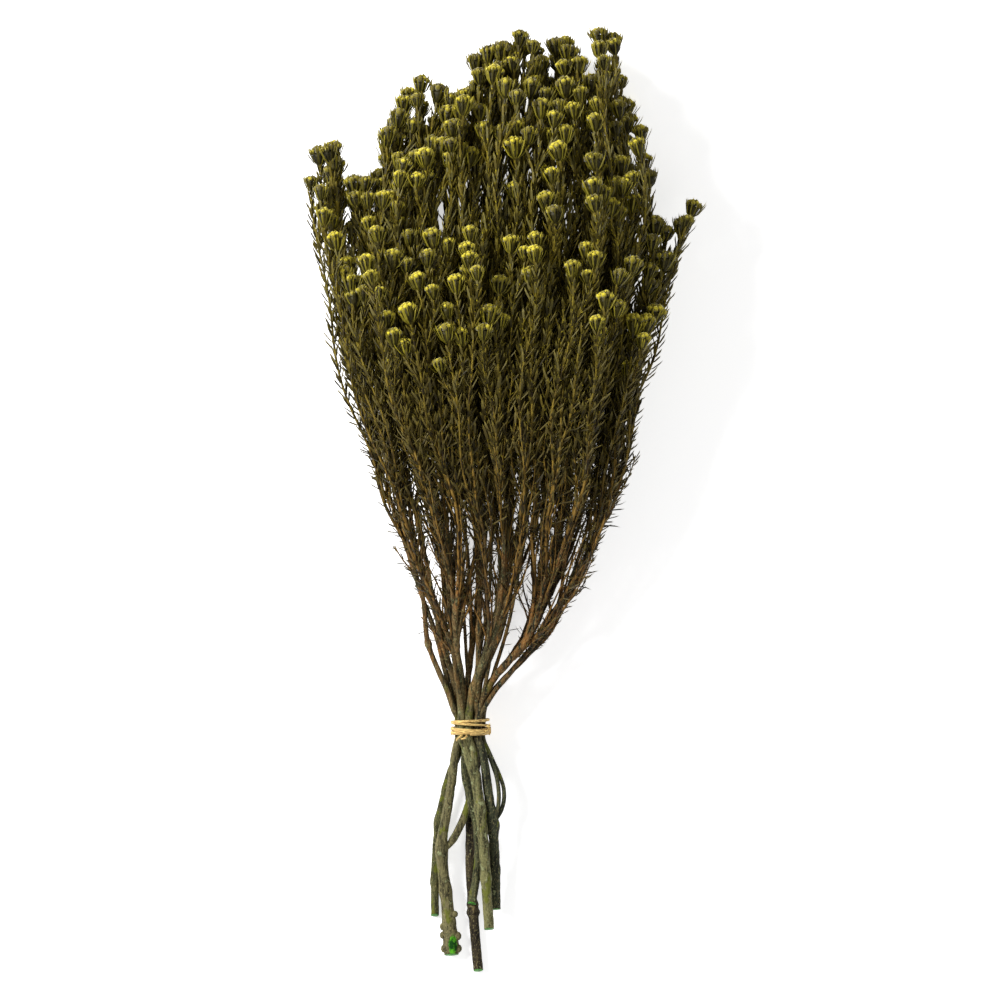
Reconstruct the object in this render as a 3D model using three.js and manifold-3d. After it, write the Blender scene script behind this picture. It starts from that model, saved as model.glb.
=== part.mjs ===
// A dried phylica bunch: six cut woody stems bound by a raffia tie. Above the tie the
// stems fork into strands, each strand carries leafy sprays, and every spray splits into
// slender spires that end in a domed flower head. The bunch lies on a flat surface.
//
// Millimetres. +Y runs from the cut ends to the flowers, +X across the bunch, +Z up.
// Everything is laid out from the middle of the tie (x, y) and from the surface (z), and
// the finished group is moved so that the middle of its footprint is the origin.
//
// Each place above the tie is named by two shares, across (-1 left, 1 right) and deep
// (-1 underneath, 1 on top), of the width and depth that the fan has at that height.
// Neighbours keep their shares as the fan opens, so they never run into each other.

import * as THREE from "three";
import { mergeVertices } from "three/addons/utils/BufferGeometryUtils.js";
import Module from "manifold-3d";

const wasm = await Module();
wasm.setup();

// ---- Driving dimensions -------------------------------------------------------------

const TIE_HEIGHT = 20; // the middle of the tie above the surface
const TIE_HALF_WIDTH = 12;
const TIE_HALF_DEPTH = 11;

const FAN_HALF_WIDTH = 117;
const FAN_HALF_DEPTH = 49;
const FAN_OPENS_OVER = 310; // distance above the tie at which the fan is widest
const FAN_DEEPENS_OVER = 300;
const FAN_LEAN = 21; // the fan leans this far to the right of the tie
const FAN_LEANS_OVER = 130;
const HOLLOW = 15; // the right edge of the fan stands in by this much
const HOLLOW_RISES = [140, 220]; // heights between which the hollow sets in
const HOLLOW_FALLS = [250, 345]; // and between which it ends
const LEAVES_TIE_OVER = 60; // a strand leaves its place in the tie over this distance
const CROWN_HEIGHT = 50; // the middle of the fan above the surface
const CROWN_RISES_OVER = 260;

const SWAY = { x: 4.5, z: 2.4, over: 160 }; // how far the branches wave, and how soon

const GAP = 0.3; // between pieces that touch

const SHORTEST_BARE = 28; // bark on a side branch, from its fork to the first leaves
const LONGEST_BARE = 120;
const LEAF_CLEARANCE = 5.2; // leaves begin where a branch is this far from its neighbours
const SPLIT_PAST_BARE = [44, 68]; // side spires split off this far past the first leaves
const LATEST_SPLIT = 0.5; // but no further than this share of the way up the leader
const SPRAY_REACH = 90; // a side branch takes this long to reach its own place
const SPIRE_REACH = 60;
const SIDE_STEP_ACROSS = 6; // a side spire stands this far from its leader at the crown
const SIDE_STEP_DEEP = 5;
const FIRST_FORK = 22;
const LAST_FORK = 96;
const BARK_PAST_FORK = 6; // a strand's own bark ends this far past its last fork

const TWIG_RADIUS = 1.4;
const SIDE_BARK_RADIUS = 1.6; // the bark of a side branch, at its fork
const BARK_THINS_TO = 0.72; // of its radius in the tie, at a strand's last fork
const LEAFY_RADIUS = 2.3; // twig and close-set leaves together
const HEAD_RADIUS = 4.7;
const HEAD_LENGTH = 11;
const HEAD_WIDEST = 0.45; // of its length, from its top
const HEAD_TOP = 0.62; // of its radius
const SPIRE_ROOT = 2; // a side spire starts this far down inside its leader
const SPIRE_SIDES = 4;
const BARK_SIDES = { base: 8, strand: 6, branch: 4 };
const BARK_RINGS = { base: 6, strand: 10, branch: 4 };
const FORK_ROOT = 5; // a side branch starts this far down inside its strand

// Top outline of the bunch, left to right: [x, y] of the tips.
const CROWN_OUTLINE = [
  [-102, 335], [-92, 371], [-80, 370], [-74, 348], [-62, 358], [-54, 392], [-42, 400],
  [-34, 422], [-24, 420], [-16, 392], [-6, 428], [6, 434], [22, 441], [38, 430], [52, 442],
  [64, 438], [71, 412], [79, 447], [87, 442], [93, 396], [107, 388], [113, 330], [121, 316],
  [127, 300], [133, 346], [149, 342],
];

// The rows of sprays in the fan, from the underside to the top. The tips of the upper rows
// stop short of the outline, as far as drop says, which makes the crown a slope of heads.
const ROWS = [
  { place: "back", deep: -0.8, halfRow: 0.6, sprays: 7, drop: [20, 80] },
  { place: "back", deep: -0.4, halfRow: 0.85, sprays: 10, drop: [-2, 46] },
  { place: "middle", deep: 0, halfRow: 0.93, sprays: 11, drop: [-3, 20] },
  { place: "front", deep: 0.4, halfRow: 0.85, sprays: 10, drop: [0, 90] },
  { place: "front", deep: 0.8, halfRow: 0.62, sprays: 7, drop: [50, 190] },
];

// The cut stems. base runs from the cut end up to the fork below the tie, and each strand
// runs from that fork to its place in the tie, then on into the fan with its sprays.
// A route is [x, y, z] points, radius is [at its start, at its end].
const STEMS = {
  stem_knobbed: {
    base: {
      route: [[-12, -145, 4.8], [-13, -130, 5.5], [-15, -110, 7], [-17.5, -90, 9], [-18, -72, 11.5]],
      radius: [4.5, 3.3],
    },
    strands: [
      {
        route: [[-18, -72, 11.5], [-15, -55, 14], [-11.5, -33, 17], [-9.4, -15, 19.4]],
        at: [-7.5, 20.2],
        radius: [3, 2.4],
        place: "middle",
        sprays: 3,
      },
      {
        route: [
          [-16, -78, 11], [-12, -73, 10.8], [-5, -60, 9.4], [0, -45, 10.1], [2.5, -28, 13.4], [3, -14, 17.6],
        ],
        at: [2.7, 20.2],
        radius: [2.5, 2.2],
        place: "middle",
        sprays: 2,
      },
    ],
  },
  stem_short_left: {
    base: {
      route: [[-22.5, -120, 3], [-22.5, -95, 4], [-21.5, -75, 5.5], [-19.5, -58, 7.5], [-14, -33, 10]],
      radius: [2.6, 2.4],
    },
    strands: [
      {
        route: [[-14, -33, 10], [-7.4, -16, 13]],
        at: [-5.2, 14.4],
        radius: [2.4, 2.3],
        place: "back",
        sprays: 6,
      },
    ],
  },
  stem_slim: {
    base: {
      route: [[1, -112, 11.4], [4.5, -90, 12.2], [5, -70, 13.4], [1, -48, 15.2], [-3.4, -30, 17.6]],
      radius: [2.7, 2.4],
    },
    strands: [
      {
        route: [[-3.4, -30, 17.6], [-3.2, -16, 19.6]],
        at: [-2.6, 20.2],
        radius: [2.4, 2.3],
        place: "middle",
        sprays: 2,
      },
    ],
  },
  stem_longest: {
    base: {
      route: [[5, -155, 3.4], [2, -120, 3.8], [0, -91, 3.8], [0, -65, 3.8], [0, -42, 4.8]],
      radius: [3.2, 2.9],
    },
    strands: [
      {
        route: [[0, -42, 4.8], [-0.5, -28, 8], [0, -16, 12]],
        at: [0, 14.2],
        radius: [2.6, 2.3],
        place: "back",
        sprays: 5,
      },
      {
        route: [[0, -42, 4.8], [3.5, -28, 7], [5.2, -16, 12]],
        at: [5.3, 14.4],
        radius: [2.5, 2.3],
        place: "back",
        sprays: 6,
      },
    ],
  },
  stem_forked_pale: {
    base: {
      route: [[12, -128, 15.5], [9.6, -91, 18.6], [7.7, -65, 21], [5, -42, 23.2], [3, -30, 24.4]],
      radius: [3.2, 3.3],
    },
    strands: [
      {
        route: [[3, -30, 24.4], [0, -22, 25], [-3.6, -11, 25.4]],
        at: [-5.5, 25.6],
        radius: [2.5, 2.6],
        place: "front",
        sprays: 6,
      },
      {
        route: [[3, -30, 24.4], [1.5, -14, 25.2]],
        at: [-0.8, 25.9],
        radius: [2.8, 2.6],
        place: "front",
        sprays: 5,
      },
    ],
  },
  stem_dark_right: {
    base: {
      route: [[16, -116, 7], [15.4, -85, 12], [14.2, -62, 16], [11, -38, 20.8]],
      radius: [3.3, 3],
    },
    strands: [
      {
        route: [[11, -38, 20.8], [8, -16, 24]],
        at: [5, 25.1],
        radius: [2.8, 2.5],
        place: "front",
        sprays: 6,
      },
      {
        route: [[14.2, -62, 16], [18, -48, 18.8], [17, -33, 19.8], [12, -18, 21]],
        at: [8.3, 21.8],
        radius: [1.4, 1.2],
        place: "middle",
        sprays: 2,
      },
      {
        route: [[14.2, -62, 16], [20.6, -50, 16.8], [21, -38, 17.2], [13, -18, 18.4]],
        at: [8.5, 18.5],
        radius: [1.4, 1.2],
        place: "middle",
        sprays: 2,
      },
    ],
  },
};

const TIE = {
  turns: 4.5,
  stepsPerTurn: 16,
  radius: 0.85, // of the raffia
  ring: 11.7, // the raffia's middle line goes round the bundle at this radius
  top: 5.2, // where the first turn starts, above the middle of the tie
  pitch: -2.3,
  straight: 7, // the stems run straight this far below the middle of the tie
  tilt: 0.35,
};

const MATERIALS = {
  bark: { color: 0x4a3d2a, roughness: 0.85, metalness: 0 },
  leafy: { color: 0x4c4a1c, roughness: 0.75, metalness: 0 },
  raffia: { color: 0xd9b06a, roughness: 0.7, metalness: 0 },
};

// ---- Small maths --------------------------------------------------------------------

const clamp01 = (t) => Math.min(1, Math.max(0, t));
const ease = (t) => clamp01(t) ** 2 * (3 - 2 * clamp01(t));
const swell = (t) => Math.sin((Math.PI / 2) * clamp01(t));
const mix = (a, b, t) => a + (b - a) * t;

// A number from 0 to 1 for the nth of a kind: golden steps, so neighbours differ well.
const vary = (n, kind) => (n * 0.6180339887 + kind * 0.3819660113) % 1;

function alongOutline(outline, x) {
  const after = outline.findIndex(([px]) => px >= x);
  if (after < 0) return outline.at(-1)[1];
  if (after === 0) return outline[0][1];
  const [[x0, y0], [x1, y1]] = [outline[after - 1], outline[after]];
  return mix(y0, y1, (x - x0) / (x1 - x0));
}

// ---- The fan ------------------------------------------------------------------------

const halfWidthAt = (y) => mix(TIE_HALF_WIDTH, FAN_HALF_WIDTH, swell(y / FAN_OPENS_OVER));
const halfDepthAt = (y) => mix(TIE_HALF_DEPTH, FAN_HALF_DEPTH, swell(y / FAN_DEEPENS_OVER));
const leanAt = (y) => FAN_LEAN * swell(y / FAN_LEANS_OVER);
const heightAt = (y) => mix(TIE_HEIGHT, CROWN_HEIGHT, swell(y / CROWN_RISES_OVER));

// A slow sway that every piece shares, so the fan isn't a perfect funnel.
const sway = (across, deep, y) => ({
  x: SWAY.x * ease(y / SWAY.over) * Math.sin(y / 55 + 2.2 * across + 1.4 * deep),
  z: SWAY.z * ease(y / SWAY.over) * Math.sin(y / 47 + 2.6 * across),
});

const between = ([from, to], y) => ease((y - from) / (to - from));
const hollowAt = (y) => HOLLOW * between(HOLLOW_RISES, y) * (1 - between(HOLLOW_FALLS, y));

function placeInFan({ across, deep }, y) {
  const moved = sway(across, deep, y);
  const pulledIn = Math.max(0, across) ** 2 * hollowAt(y);
  return new THREE.Vector3(
    leanAt(y) + across * halfWidthAt(y) + moved.x - pulledIn,
    y,
    heightAt(y) + deep * halfDepthAt(y) + moved.z,
  );
}

const mixPlaces = (a, b, t) => ({ across: mix(a.across, b.across, t), deep: mix(a.deep, b.deep, t) });

// ---- The plan: which spray and spire is where ------------------------------------------

// The sprays of one place, left to right.
function spraysOf(place) {
  const found = [];
  ROWS.filter((row) => row.place === place).forEach((row) => {
    for (let i = 0; i < row.sprays; i++) {
      const across = mix(-row.halfRow, row.halfRow, i / (row.sprays - 1));
      found.push({ across, deep: row.deep, drop: row.drop });
    }
  });
  found.sort((a, b) => a.across - b.across);
  const numbered = (i) => `spray_${place}_${String(i + 1).padStart(2, "0")}`;
  return found.map((spray, i) => ({ ...spray, name: numbered(i) }));
}

// A leader at the spray's own place, and two or three side spires round it.
function spiresOf(spray, serial) {
  const corners = [[0, 0], [-1, -1], [1, 1], [-1, 1]].slice(0, serial % 3 ? 3 : 4);
  const spires = corners.map(([right, up], i) => {
    const nth = serial * 4 + i;
    const turned = serial % 2 ? 1 : -1;
    const across = spray.across + (turned * right * SIDE_STEP_ACROSS) / FAN_HALF_WIDTH;
    const deep = spray.deep + (up * SIDE_STEP_DEEP) / FAN_HALF_DEPTH;
    const crownX = placeInFan({ across, deep }, FAN_OPENS_OVER).x;
    const share = mix(vary(serial, 3), vary(nth, 4), 0.55);
    const tip = alongOutline(CROWN_OUTLINE, crownX) - mix(spray.drop[0], spray.drop[1], share);
    return { across, deep, tip, split: spray.bare + mix(...SPLIT_PAST_BARE, vary(nth, 5)) };
  });
  const latest = mix(spray.bare, spires[0].tip, LATEST_SPLIT);
  return spires.map((spire) => ({ ...spire, split: Math.min(spire.split, latest) }));
}

// A strand's place in the fan is the middle of its sprays. The spray furthest out forks
// off first, so that none has to pass another.
function planStrand(strand, sprays) {
  const middle = {
    across: sprays.reduce((sum, s) => sum + s.across, 0) / sprays.length,
    deep: sprays.reduce((sum, s) => sum + s.deep, 0) / sprays.length,
  };
  const reach = (s) =>
    Math.hypot((s.across - middle.across) * FAN_HALF_WIDTH, (s.deep - middle.deep) * FAN_HALF_DEPTH);
  const order = [...sprays].sort((a, b) => reach(b) - reach(a));
  order.forEach((s, i) => {
    s.fork = mix(FIRST_FORK, LAST_FORK, i / (order.length - 1));
  });
  const planned = { ...strand, middle, sprays, barkEnd: LAST_FORK + BARK_PAST_FORK };
  sprays.forEach((s) => (s.bare = leavesBegin(planned, s)));
  return planned;
}

// The height at which a side branch has left the strand, and every other branch of it,
// far enough behind to carry leaves.
function leavesBegin(strand, spray) {
  const others = strand.sprays.filter((s) => s !== spray);
  const clearAt = (y) => {
    const here = pointOn(strand, spray, null, y);
    const bark = y < strand.barkEnd + LEAF_CLEARANCE ? [pointOn(strand, null, null, y)] : [];
    const near = [...bark, ...others.map((s) => pointOn(strand, s, null, y))];
    return near.every((p) => p.distanceTo(here) > LEAF_CLEARANCE);
  };
  let bare = spray.fork + SHORTEST_BARE;
  while (!clearAt(bare) && bare < spray.fork + LONGEST_BARE) bare += 2;
  return bare;
}

// The point at height y on the way to a strand's, a spray's or a spire's place.
function pointOn(strand, spray, spire, y) {
  let place = strand.middle;
  if (spray) place = mixPlaces(place, spray, ease((y - spray.fork) / SPRAY_REACH));
  if (spire) place = mixPlaces(place, spire, ease((y - spire.split) / SPIRE_REACH));
  const tied = new THREE.Vector3(strand.at[0], y, strand.at[1]);
  return tied.lerp(placeInFan(place, y), ease(y / LEAVES_TIE_OVER));
}

// ---- Solids -------------------------------------------------------------------------

const curveThrough = (points) => new THREE.CatmullRomCurve3(points, false, "centripetal");

// A closed round bar that follows a curve. rings is [[share of the length, radius], ...].
function bar(curve, rings, sides) {
  const geometry = new THREE.CylinderGeometry(1, 1, rings.length - 1, sides, rings.length - 1);
  const position = geometry.getAttribute("position");
  const start = curve.getTangentAt(0);
  const seed = Math.abs(start.z) < 0.9 ? new THREE.Vector3(0, 0, 1) : new THREE.Vector3(1, 0, 0);
  const frames = rings.map(([share, radius]) => {
    const ahead = curve.getTangentAt(share);
    const side = new THREE.Vector3().crossVectors(ahead, seed).normalize();
    const top = new THREE.Vector3().crossVectors(side, ahead);
    return { middle: curve.getPointAt(share), side, top, radius };
  });
  for (let i = 0; i < position.count; i++) {
    const ring = Math.round(position.getY(i) + (rings.length - 1) / 2);
    const { middle, side, top, radius } = frames[ring];
    const p = middle.clone();
    p.addScaledVector(side, position.getX(i) * radius);
    p.addScaledVector(top, position.getZ(i) * radius);
    position.setXYZ(i, p.x, p.y, p.z);
  }
  geometry.deleteAttribute("normal");
  geometry.deleteAttribute("uv");
  return geometry;
}

const evenRings = (count, [from, to]) =>
  Array.from({ length: count }, (_, i) => [i / (count - 1), mix(from, to, i / (count - 1))]);

function toSolid(geometry) {
  const merged = mergeVertices(geometry, 1e-4);
  const made = new wasm.Manifold(
    new wasm.Mesh({
      numProp: 3,
      vertProperties: merged.getAttribute("position").array,
      triVerts: new Uint32Array(merged.index.array),
    }),
  );
  if (made.volume() < 0) throw new Error("a bar came out inside out");
  return made;
}

const join = (geometries) => geometries.map(toSolid).reduce((whole, part) => whole.add(part));

function toMesh(name, solid, look) {
  const { vertProperties, triVerts, numProp, numVert } = solid.getMesh();
  const position = new Float32Array(numVert * 3);
  for (let i = 0; i < numVert; i++) {
    position.set(vertProperties.subarray(i * numProp, i * numProp + 3), i * 3);
  }
  const geometry = new THREE.BufferGeometry();
  geometry.setAttribute("position", new THREE.BufferAttribute(position, 3));
  geometry.setIndex(new THREE.BufferAttribute(triVerts, 1));
  geometry.computeVertexNormals();
  const mesh = new THREE.Mesh(geometry, new THREE.MeshStandardMaterial(MATERIALS[look]));
  mesh.name = name;
  return mesh;
}

const heights = (from, to, count) => Array.from({ length: count }, (_, i) => mix(from, to, i / (count - 1)));

// ---- Pieces -------------------------------------------------------------------------

// The bark of a strand: from its fork below the tie, through the tie, to its last side
// branch, with the woody foot of each side branch.
function strandBars(strand) {
  const below = strand.route.map((p) => new THREE.Vector3(...p));
  const straight = new THREE.Vector3(strand.at[0], -TIE.straight, strand.at[1]);
  const above = heights(0, strand.barkEnd, 6).map((y) => pointOn(strand, null, null, y));
  const radii = [strand.radius[0], strand.radius[1] * BARK_THINS_TO];
  const main = bar(
    curveThrough([...below, straight, ...above]),
    evenRings(BARK_RINGS.strand, radii),
    BARK_SIDES.strand,
  );
  const feet = strand.sprays.map((spray) => {
    const route = heights(spray.fork - FORK_ROOT, spray.bare, 4).map((y) => pointOn(strand, spray, null, y));
    const foot = [Math.min(SIDE_BARK_RADIUS, strand.radius[1]), TWIG_RADIUS];
    return bar(curveThrough(route), evenRings(BARK_RINGS.branch, foot), BARK_SIDES.branch);
  });
  return [main, ...feet];
}

function stemMesh(name, { base, strands }) {
  const route = base.route.map((p) => new THREE.Vector3(...p));
  const foot = bar(curveThrough(route), evenRings(BARK_RINGS.base, base.radius), BARK_SIDES.base);
  return toMesh(name, join([foot, ...strands.flatMap(strandBars)]), "bark");
}

// A spire: twig and leaves as one slender bar that swells into the flower head at its tip.
function spireBar(strand, spray, spire, from, startRadius) {
  const route = heights(from, spire.tip, 6).map((y) => pointOn(strand, spray, spire, y));
  const curve = curveThrough(route);
  const head = (back) => 1 - (back * HEAD_LENGTH) / curve.getLength();
  const rings = [
    [0, startRadius],
    [head(1) / 3, mix(startRadius, LEAFY_RADIUS, 0.8)],
    [(head(1) * 2) / 3, LEAFY_RADIUS],
    [head(1), LEAFY_RADIUS],
    [head(HEAD_WIDEST), HEAD_RADIUS],
    [1, HEAD_RADIUS * HEAD_TOP],
  ];
  return bar(curve, rings, SPIRE_SIDES);
}

function sprayMesh(strand, spray, [leader, ...sides]) {
  const bars = [spireBar(strand, spray, leader, spray.bare + GAP, TWIG_RADIUS)];
  sides.forEach((side) => bars.push(spireBar(strand, spray, side, side.split - SPIRE_ROOT, TWIG_RADIUS)));
  return toMesh(spray.name, join(bars), "leafy");
}

// Raffia wound round the bundle, each turn a little off level.
function tieMesh() {
  const steps = TIE.stepsPerTurn * TIE.turns;
  const route = [];
  for (let i = 0; i <= steps; i++) {
    const turn = i / TIE.stepsPerTurn;
    const angle = turn * 2 * Math.PI;
    const y = TIE.top + TIE.pitch * turn + TIE.tilt * Math.sin(angle * 0.7);
    route.push(new THREE.Vector3(TIE.ring * Math.sin(angle), y, TIE_HEIGHT - TIE.ring * Math.cos(angle)));
  }
  const curve = curveThrough(route);
  const section = new THREE.Shape();
  section.absarc(0, 0, TIE.radius, 0, 2 * Math.PI, false);
  const settings = { steps, extrudePath: curve, curveSegments: 3, bevelEnabled: false };
  const wound = new THREE.ExtrudeGeometry(section, settings);
  wound.deleteAttribute("normal");
  wound.deleteAttribute("uv");
  return toMesh("raffia_tie", toSolid(wound), "raffia");
}

// ---- The bunch ----------------------------------------------------------------------

const bunch = new THREE.Group();
const waiting = { back: spraysOf("back"), middle: spraysOf("middle"), front: spraysOf("front") };
const strandOrder = Object.values(STEMS).flatMap((stem) => stem.strands);

// Each place's sprays go to its strands from left to right, as the strands lie in the tie.
for (const place of Object.keys(waiting)) {
  strandOrder
    .filter((strand) => strand.place === place)
    .sort((a, b) => a.at[0] - b.at[0])
    .forEach((strand) => Object.assign(strand, planStrand(strand, waiting[place].splice(0, strand.sprays))));
}

let serial = 0;
for (const [name, stem] of Object.entries(STEMS)) {
  bunch.add(stemMesh(name, stem));
  for (const strand of stem.strands) {
    for (const spray of strand.sprays) bunch.add(sprayMesh(strand, spray, spiresOf(spray, serial++)));
  }
}
bunch.add(tieMesh());

const box = new THREE.Box3().setFromObject(bunch);
const middle = box.getCenter(new THREE.Vector3());
bunch.position.set(-middle.x, -middle.y, -box.min.z);

export default bunch;
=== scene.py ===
# %% [markdown]
# # A phylica bunch
#
# Phylica is a shrub with small stiff leaves and fuzzy yellow-green flower heads. A bunch of
# it is a handful of woody stems, tied with raffia. This lesson dresses the plain CAD bunch
# with bark, thousands of leaves, flower heads and a fibrous tie.
#
# The CAD bunch already fixes where each stem and each spire goes, so the first step loads
# it and measures its box. Everything made later stays in that box.

import bmesh
import bpy
import numpy as np
from mathutils import Matrix, Vector, noise


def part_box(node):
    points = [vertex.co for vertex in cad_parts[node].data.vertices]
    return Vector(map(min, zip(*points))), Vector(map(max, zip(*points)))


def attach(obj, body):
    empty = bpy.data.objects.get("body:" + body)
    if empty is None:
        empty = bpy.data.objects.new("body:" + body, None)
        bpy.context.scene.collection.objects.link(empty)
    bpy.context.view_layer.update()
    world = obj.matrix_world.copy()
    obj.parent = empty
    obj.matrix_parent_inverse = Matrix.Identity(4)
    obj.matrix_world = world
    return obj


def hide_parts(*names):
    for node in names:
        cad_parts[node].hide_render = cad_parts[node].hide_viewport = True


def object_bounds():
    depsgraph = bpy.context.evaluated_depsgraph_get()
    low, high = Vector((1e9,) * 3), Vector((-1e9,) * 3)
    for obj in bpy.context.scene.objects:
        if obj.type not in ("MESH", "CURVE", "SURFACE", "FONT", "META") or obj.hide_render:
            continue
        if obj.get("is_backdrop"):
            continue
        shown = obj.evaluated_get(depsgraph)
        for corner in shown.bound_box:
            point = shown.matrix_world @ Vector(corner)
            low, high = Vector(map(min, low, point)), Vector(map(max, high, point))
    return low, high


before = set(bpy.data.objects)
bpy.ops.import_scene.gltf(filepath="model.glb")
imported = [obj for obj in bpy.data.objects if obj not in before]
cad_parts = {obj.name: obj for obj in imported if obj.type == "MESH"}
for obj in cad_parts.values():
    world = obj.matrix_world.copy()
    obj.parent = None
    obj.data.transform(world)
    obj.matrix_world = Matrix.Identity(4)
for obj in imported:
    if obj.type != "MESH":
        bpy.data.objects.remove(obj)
cad_low, cad_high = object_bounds()
print("CAD box", [round(x, 3) for x in (*cad_low, *cad_high)])

# %% [markdown]
# ## Light, floor and camera
#
# The bunch lies on a white light table and is seen from straight above, the way a flower
# seller shows it. The table is a plain grid with a pale material that glows a little, so the
# shadows on it stay pale.

# %% The light table
TABLE_SIZE, TABLE_CLEARANCE = 30.0, 0.0004
TABLE_GREY, TABLE_ROUGHNESS, TABLE_GLOW = 0.88, 0.6, 0.62


def table_material():
    made = bpy.data.materials.new("white_light_table")
    made.use_nodes = True
    shader = made.node_tree.nodes["Principled BSDF"]
    shader.inputs["Base Color"].default_value = (TABLE_GREY, TABLE_GREY, TABLE_GREY, 1)
    shader.inputs["Roughness"].default_value = TABLE_ROUGHNESS
    shader.inputs["Emission Color"].default_value = (1, 1, 1, 1)
    shader.inputs["Emission Strength"].default_value = TABLE_GLOW
    return made


def table_under(z):
    bm = bmesh.new()
    bmesh.ops.create_grid(bm, x_segments=1, y_segments=1, size=TABLE_SIZE / 2)
    bmesh.ops.translate(bm, verts=bm.verts, vec=(0, 0, z))
    mesh = bpy.data.meshes.new("table_top")
    bm.to_mesh(mesh)
    bm.free()
    table = bpy.data.objects.new("table_top", mesh)
    table.data.materials.append(table_material())
    bpy.context.collection.objects.link(table)
    table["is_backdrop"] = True
    return table


print("made", table_under(cad_low.z - TABLE_CLEARANCE).name)

# %% [markdown]
# A strong softbox low on the left gives every twig a bright side and a dark side, and a wide
# weak one on the right lifts the darkest twigs. The world's light is kept dim, so the gaps
# between the spires stay deep, though it is shown as a pale backdrop.

# %% Softboxes
AIM = (0, 0, 0.03)


def softbox(name, place, size, power):
    light = bpy.data.lights.new(name, "AREA")
    light.shape = "DISK"
    light.size = size
    light.energy = power
    lamp = bpy.data.objects.new(name, light)
    lamp.location = place
    lamp.rotation_euler = (Vector(AIM) - Vector(place)).to_track_quat("-Z", "Y").to_euler()
    bpy.context.collection.objects.link(lamp)
    return lamp


key = softbox("key_softbox", place=(-1.3, 0.5, 1.3), size=0.6, power=46)
fill = softbox("fill_softbox", place=(1.0, -0.8, 1.9), size=1.6, power=10)
print("softboxes", key.name, fill.name)

# %% The world's light
WORLD_LIGHT, WORLD_SHOWN = 0.28, 0.9
world = bpy.data.worlds.new("studio")
bpy.context.scene.world = world
world.use_nodes = True
sky = world.node_tree
background = sky.nodes["Background"]
background.inputs["Color"].default_value = (1, 1, 1, 1)
path = sky.nodes.new("ShaderNodeLightPath")
strength = sky.nodes.new("ShaderNodeMapRange")
strength.inputs["To Min"].default_value = WORLD_LIGHT
strength.inputs["To Max"].default_value = WORLD_SHOWN
sky.links.new(path.outputs["Is Camera Ray"], strength.inputs["Value"])
sky.links.new(strength.outputs["Result"], background.inputs["Strength"])
bpy.context.scene.view_settings.view_transform = "Standard"
print("world", world.name)

# %% [markdown]
# The camera looks straight down from far away. A long lens keeps the stems parallel.

# %% Camera
LENS, SENSOR, CLIP_END = 250, 36, 100
SHOWN_WIDTH = 0.629  # metres across the picture, at the middle of the bunch
CAMERA_AT = (-0.0016, 0.0014)
camera_data = bpy.data.cameras.new("camera")
camera_data.lens = LENS
camera_data.sensor_width = SENSOR
camera = bpy.data.objects.new("camera", camera_data)
middle_height = (cad_low.z + cad_high.z) / 2
camera.location = (*CAMERA_AT, middle_height + SHOWN_WIDTH * LENS / SENSOR)
camera_data.clip_end = CLIP_END
bpy.context.collection.objects.link(camera)
bpy.context.scene.camera = camera
print("camera height", round(camera.location.z, 2))

# %% [markdown]
# ## The plan of the bunch
#
# The leaves and bark must follow the CAD bars, so the lesson works out the same centre lines
# from the same dimensions. A place in the fan is two shares, across and deep, of the width
# and depth that the fan has at a height above the tie. All of this is in millimetres from
# the middle of the tie, and one function at the end moves a point to the CAD frame.

# %% The fan's dimensions
TIE_HEIGHT = 20
TIE_HALF = (12, 11)
FAN_HALF = (117, 49)
FAN_OPENS_OVER = (310, 300)
FAN_LEAN, FAN_LEANS_OVER, LEAVES_TIE_OVER = 21, 130, 60
CROWN_HEIGHT, CROWN_RISES_OVER = 50, 260
HOLLOW, HOLLOW_RISES, HOLLOW_FALLS = 15, (140, 220), (250, 345)
SWAY, SWAY_OVER = (4.5, 2.4), 160
SHORTEST_BARE, LONGEST_BARE = 28, 120
LEAF_CLEARANCE = 5.2
SPRAY_REACH, SPIRE_REACH = 90, 60
SPLIT_PAST_BARE, LATEST_SPLIT = (44, 68), 0.5
SIDE_STEP = (6, 5)
FIRST_FORK, LAST_FORK, BARK_PAST_FORK = 22, 96, 6

CROWN_X = [-102, -92, -80, -74, -62, -54, -42, -34, -24, -16, -6, 6, 22, 38, 52, 64, 71, 79, 87,
           93, 107, 113, 121, 127, 133, 149]
CROWN_Y = [335, 371, 370, 348, 358, 392, 400, 422, 420, 392, 428, 434, 441, 430, 442, 438, 412,
           447, 442, 396, 388, 330, 316, 300, 346, 342]

ROWS = [
    dict(place="back", deep=-0.8, half=0.6, sprays=7, drop=(20, 80)),
    dict(place="back", deep=-0.4, half=0.85, sprays=10, drop=(-2, 46)),
    dict(place="middle", deep=0, half=0.93, sprays=11, drop=(-3, 20)),
    dict(place="front", deep=0.4, half=0.85, sprays=10, drop=(0, 90)),
    dict(place="front", deep=0.8, half=0.62, sprays=7, drop=(50, 190)),
]


print("crown", min(CROWN_Y), "to", max(CROWN_Y), "mm above the tie")

# %% Steps and mixes
def ease(t):
    t = np.clip(t, 0, 1)
    return t * t * (3 - 2 * t)


def swell(t):
    return np.sin(np.pi / 2 * np.clip(t, 0, 1))


def between(span, y):
    return ease((y - span[0]) / (span[1] - span[0]))


def mix(a, b, t):
    return a + (b - a) * t


print("halfway", ease(0.5), "a quarter from 2 to 6", mix(2, 6, 0.25))

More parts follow.
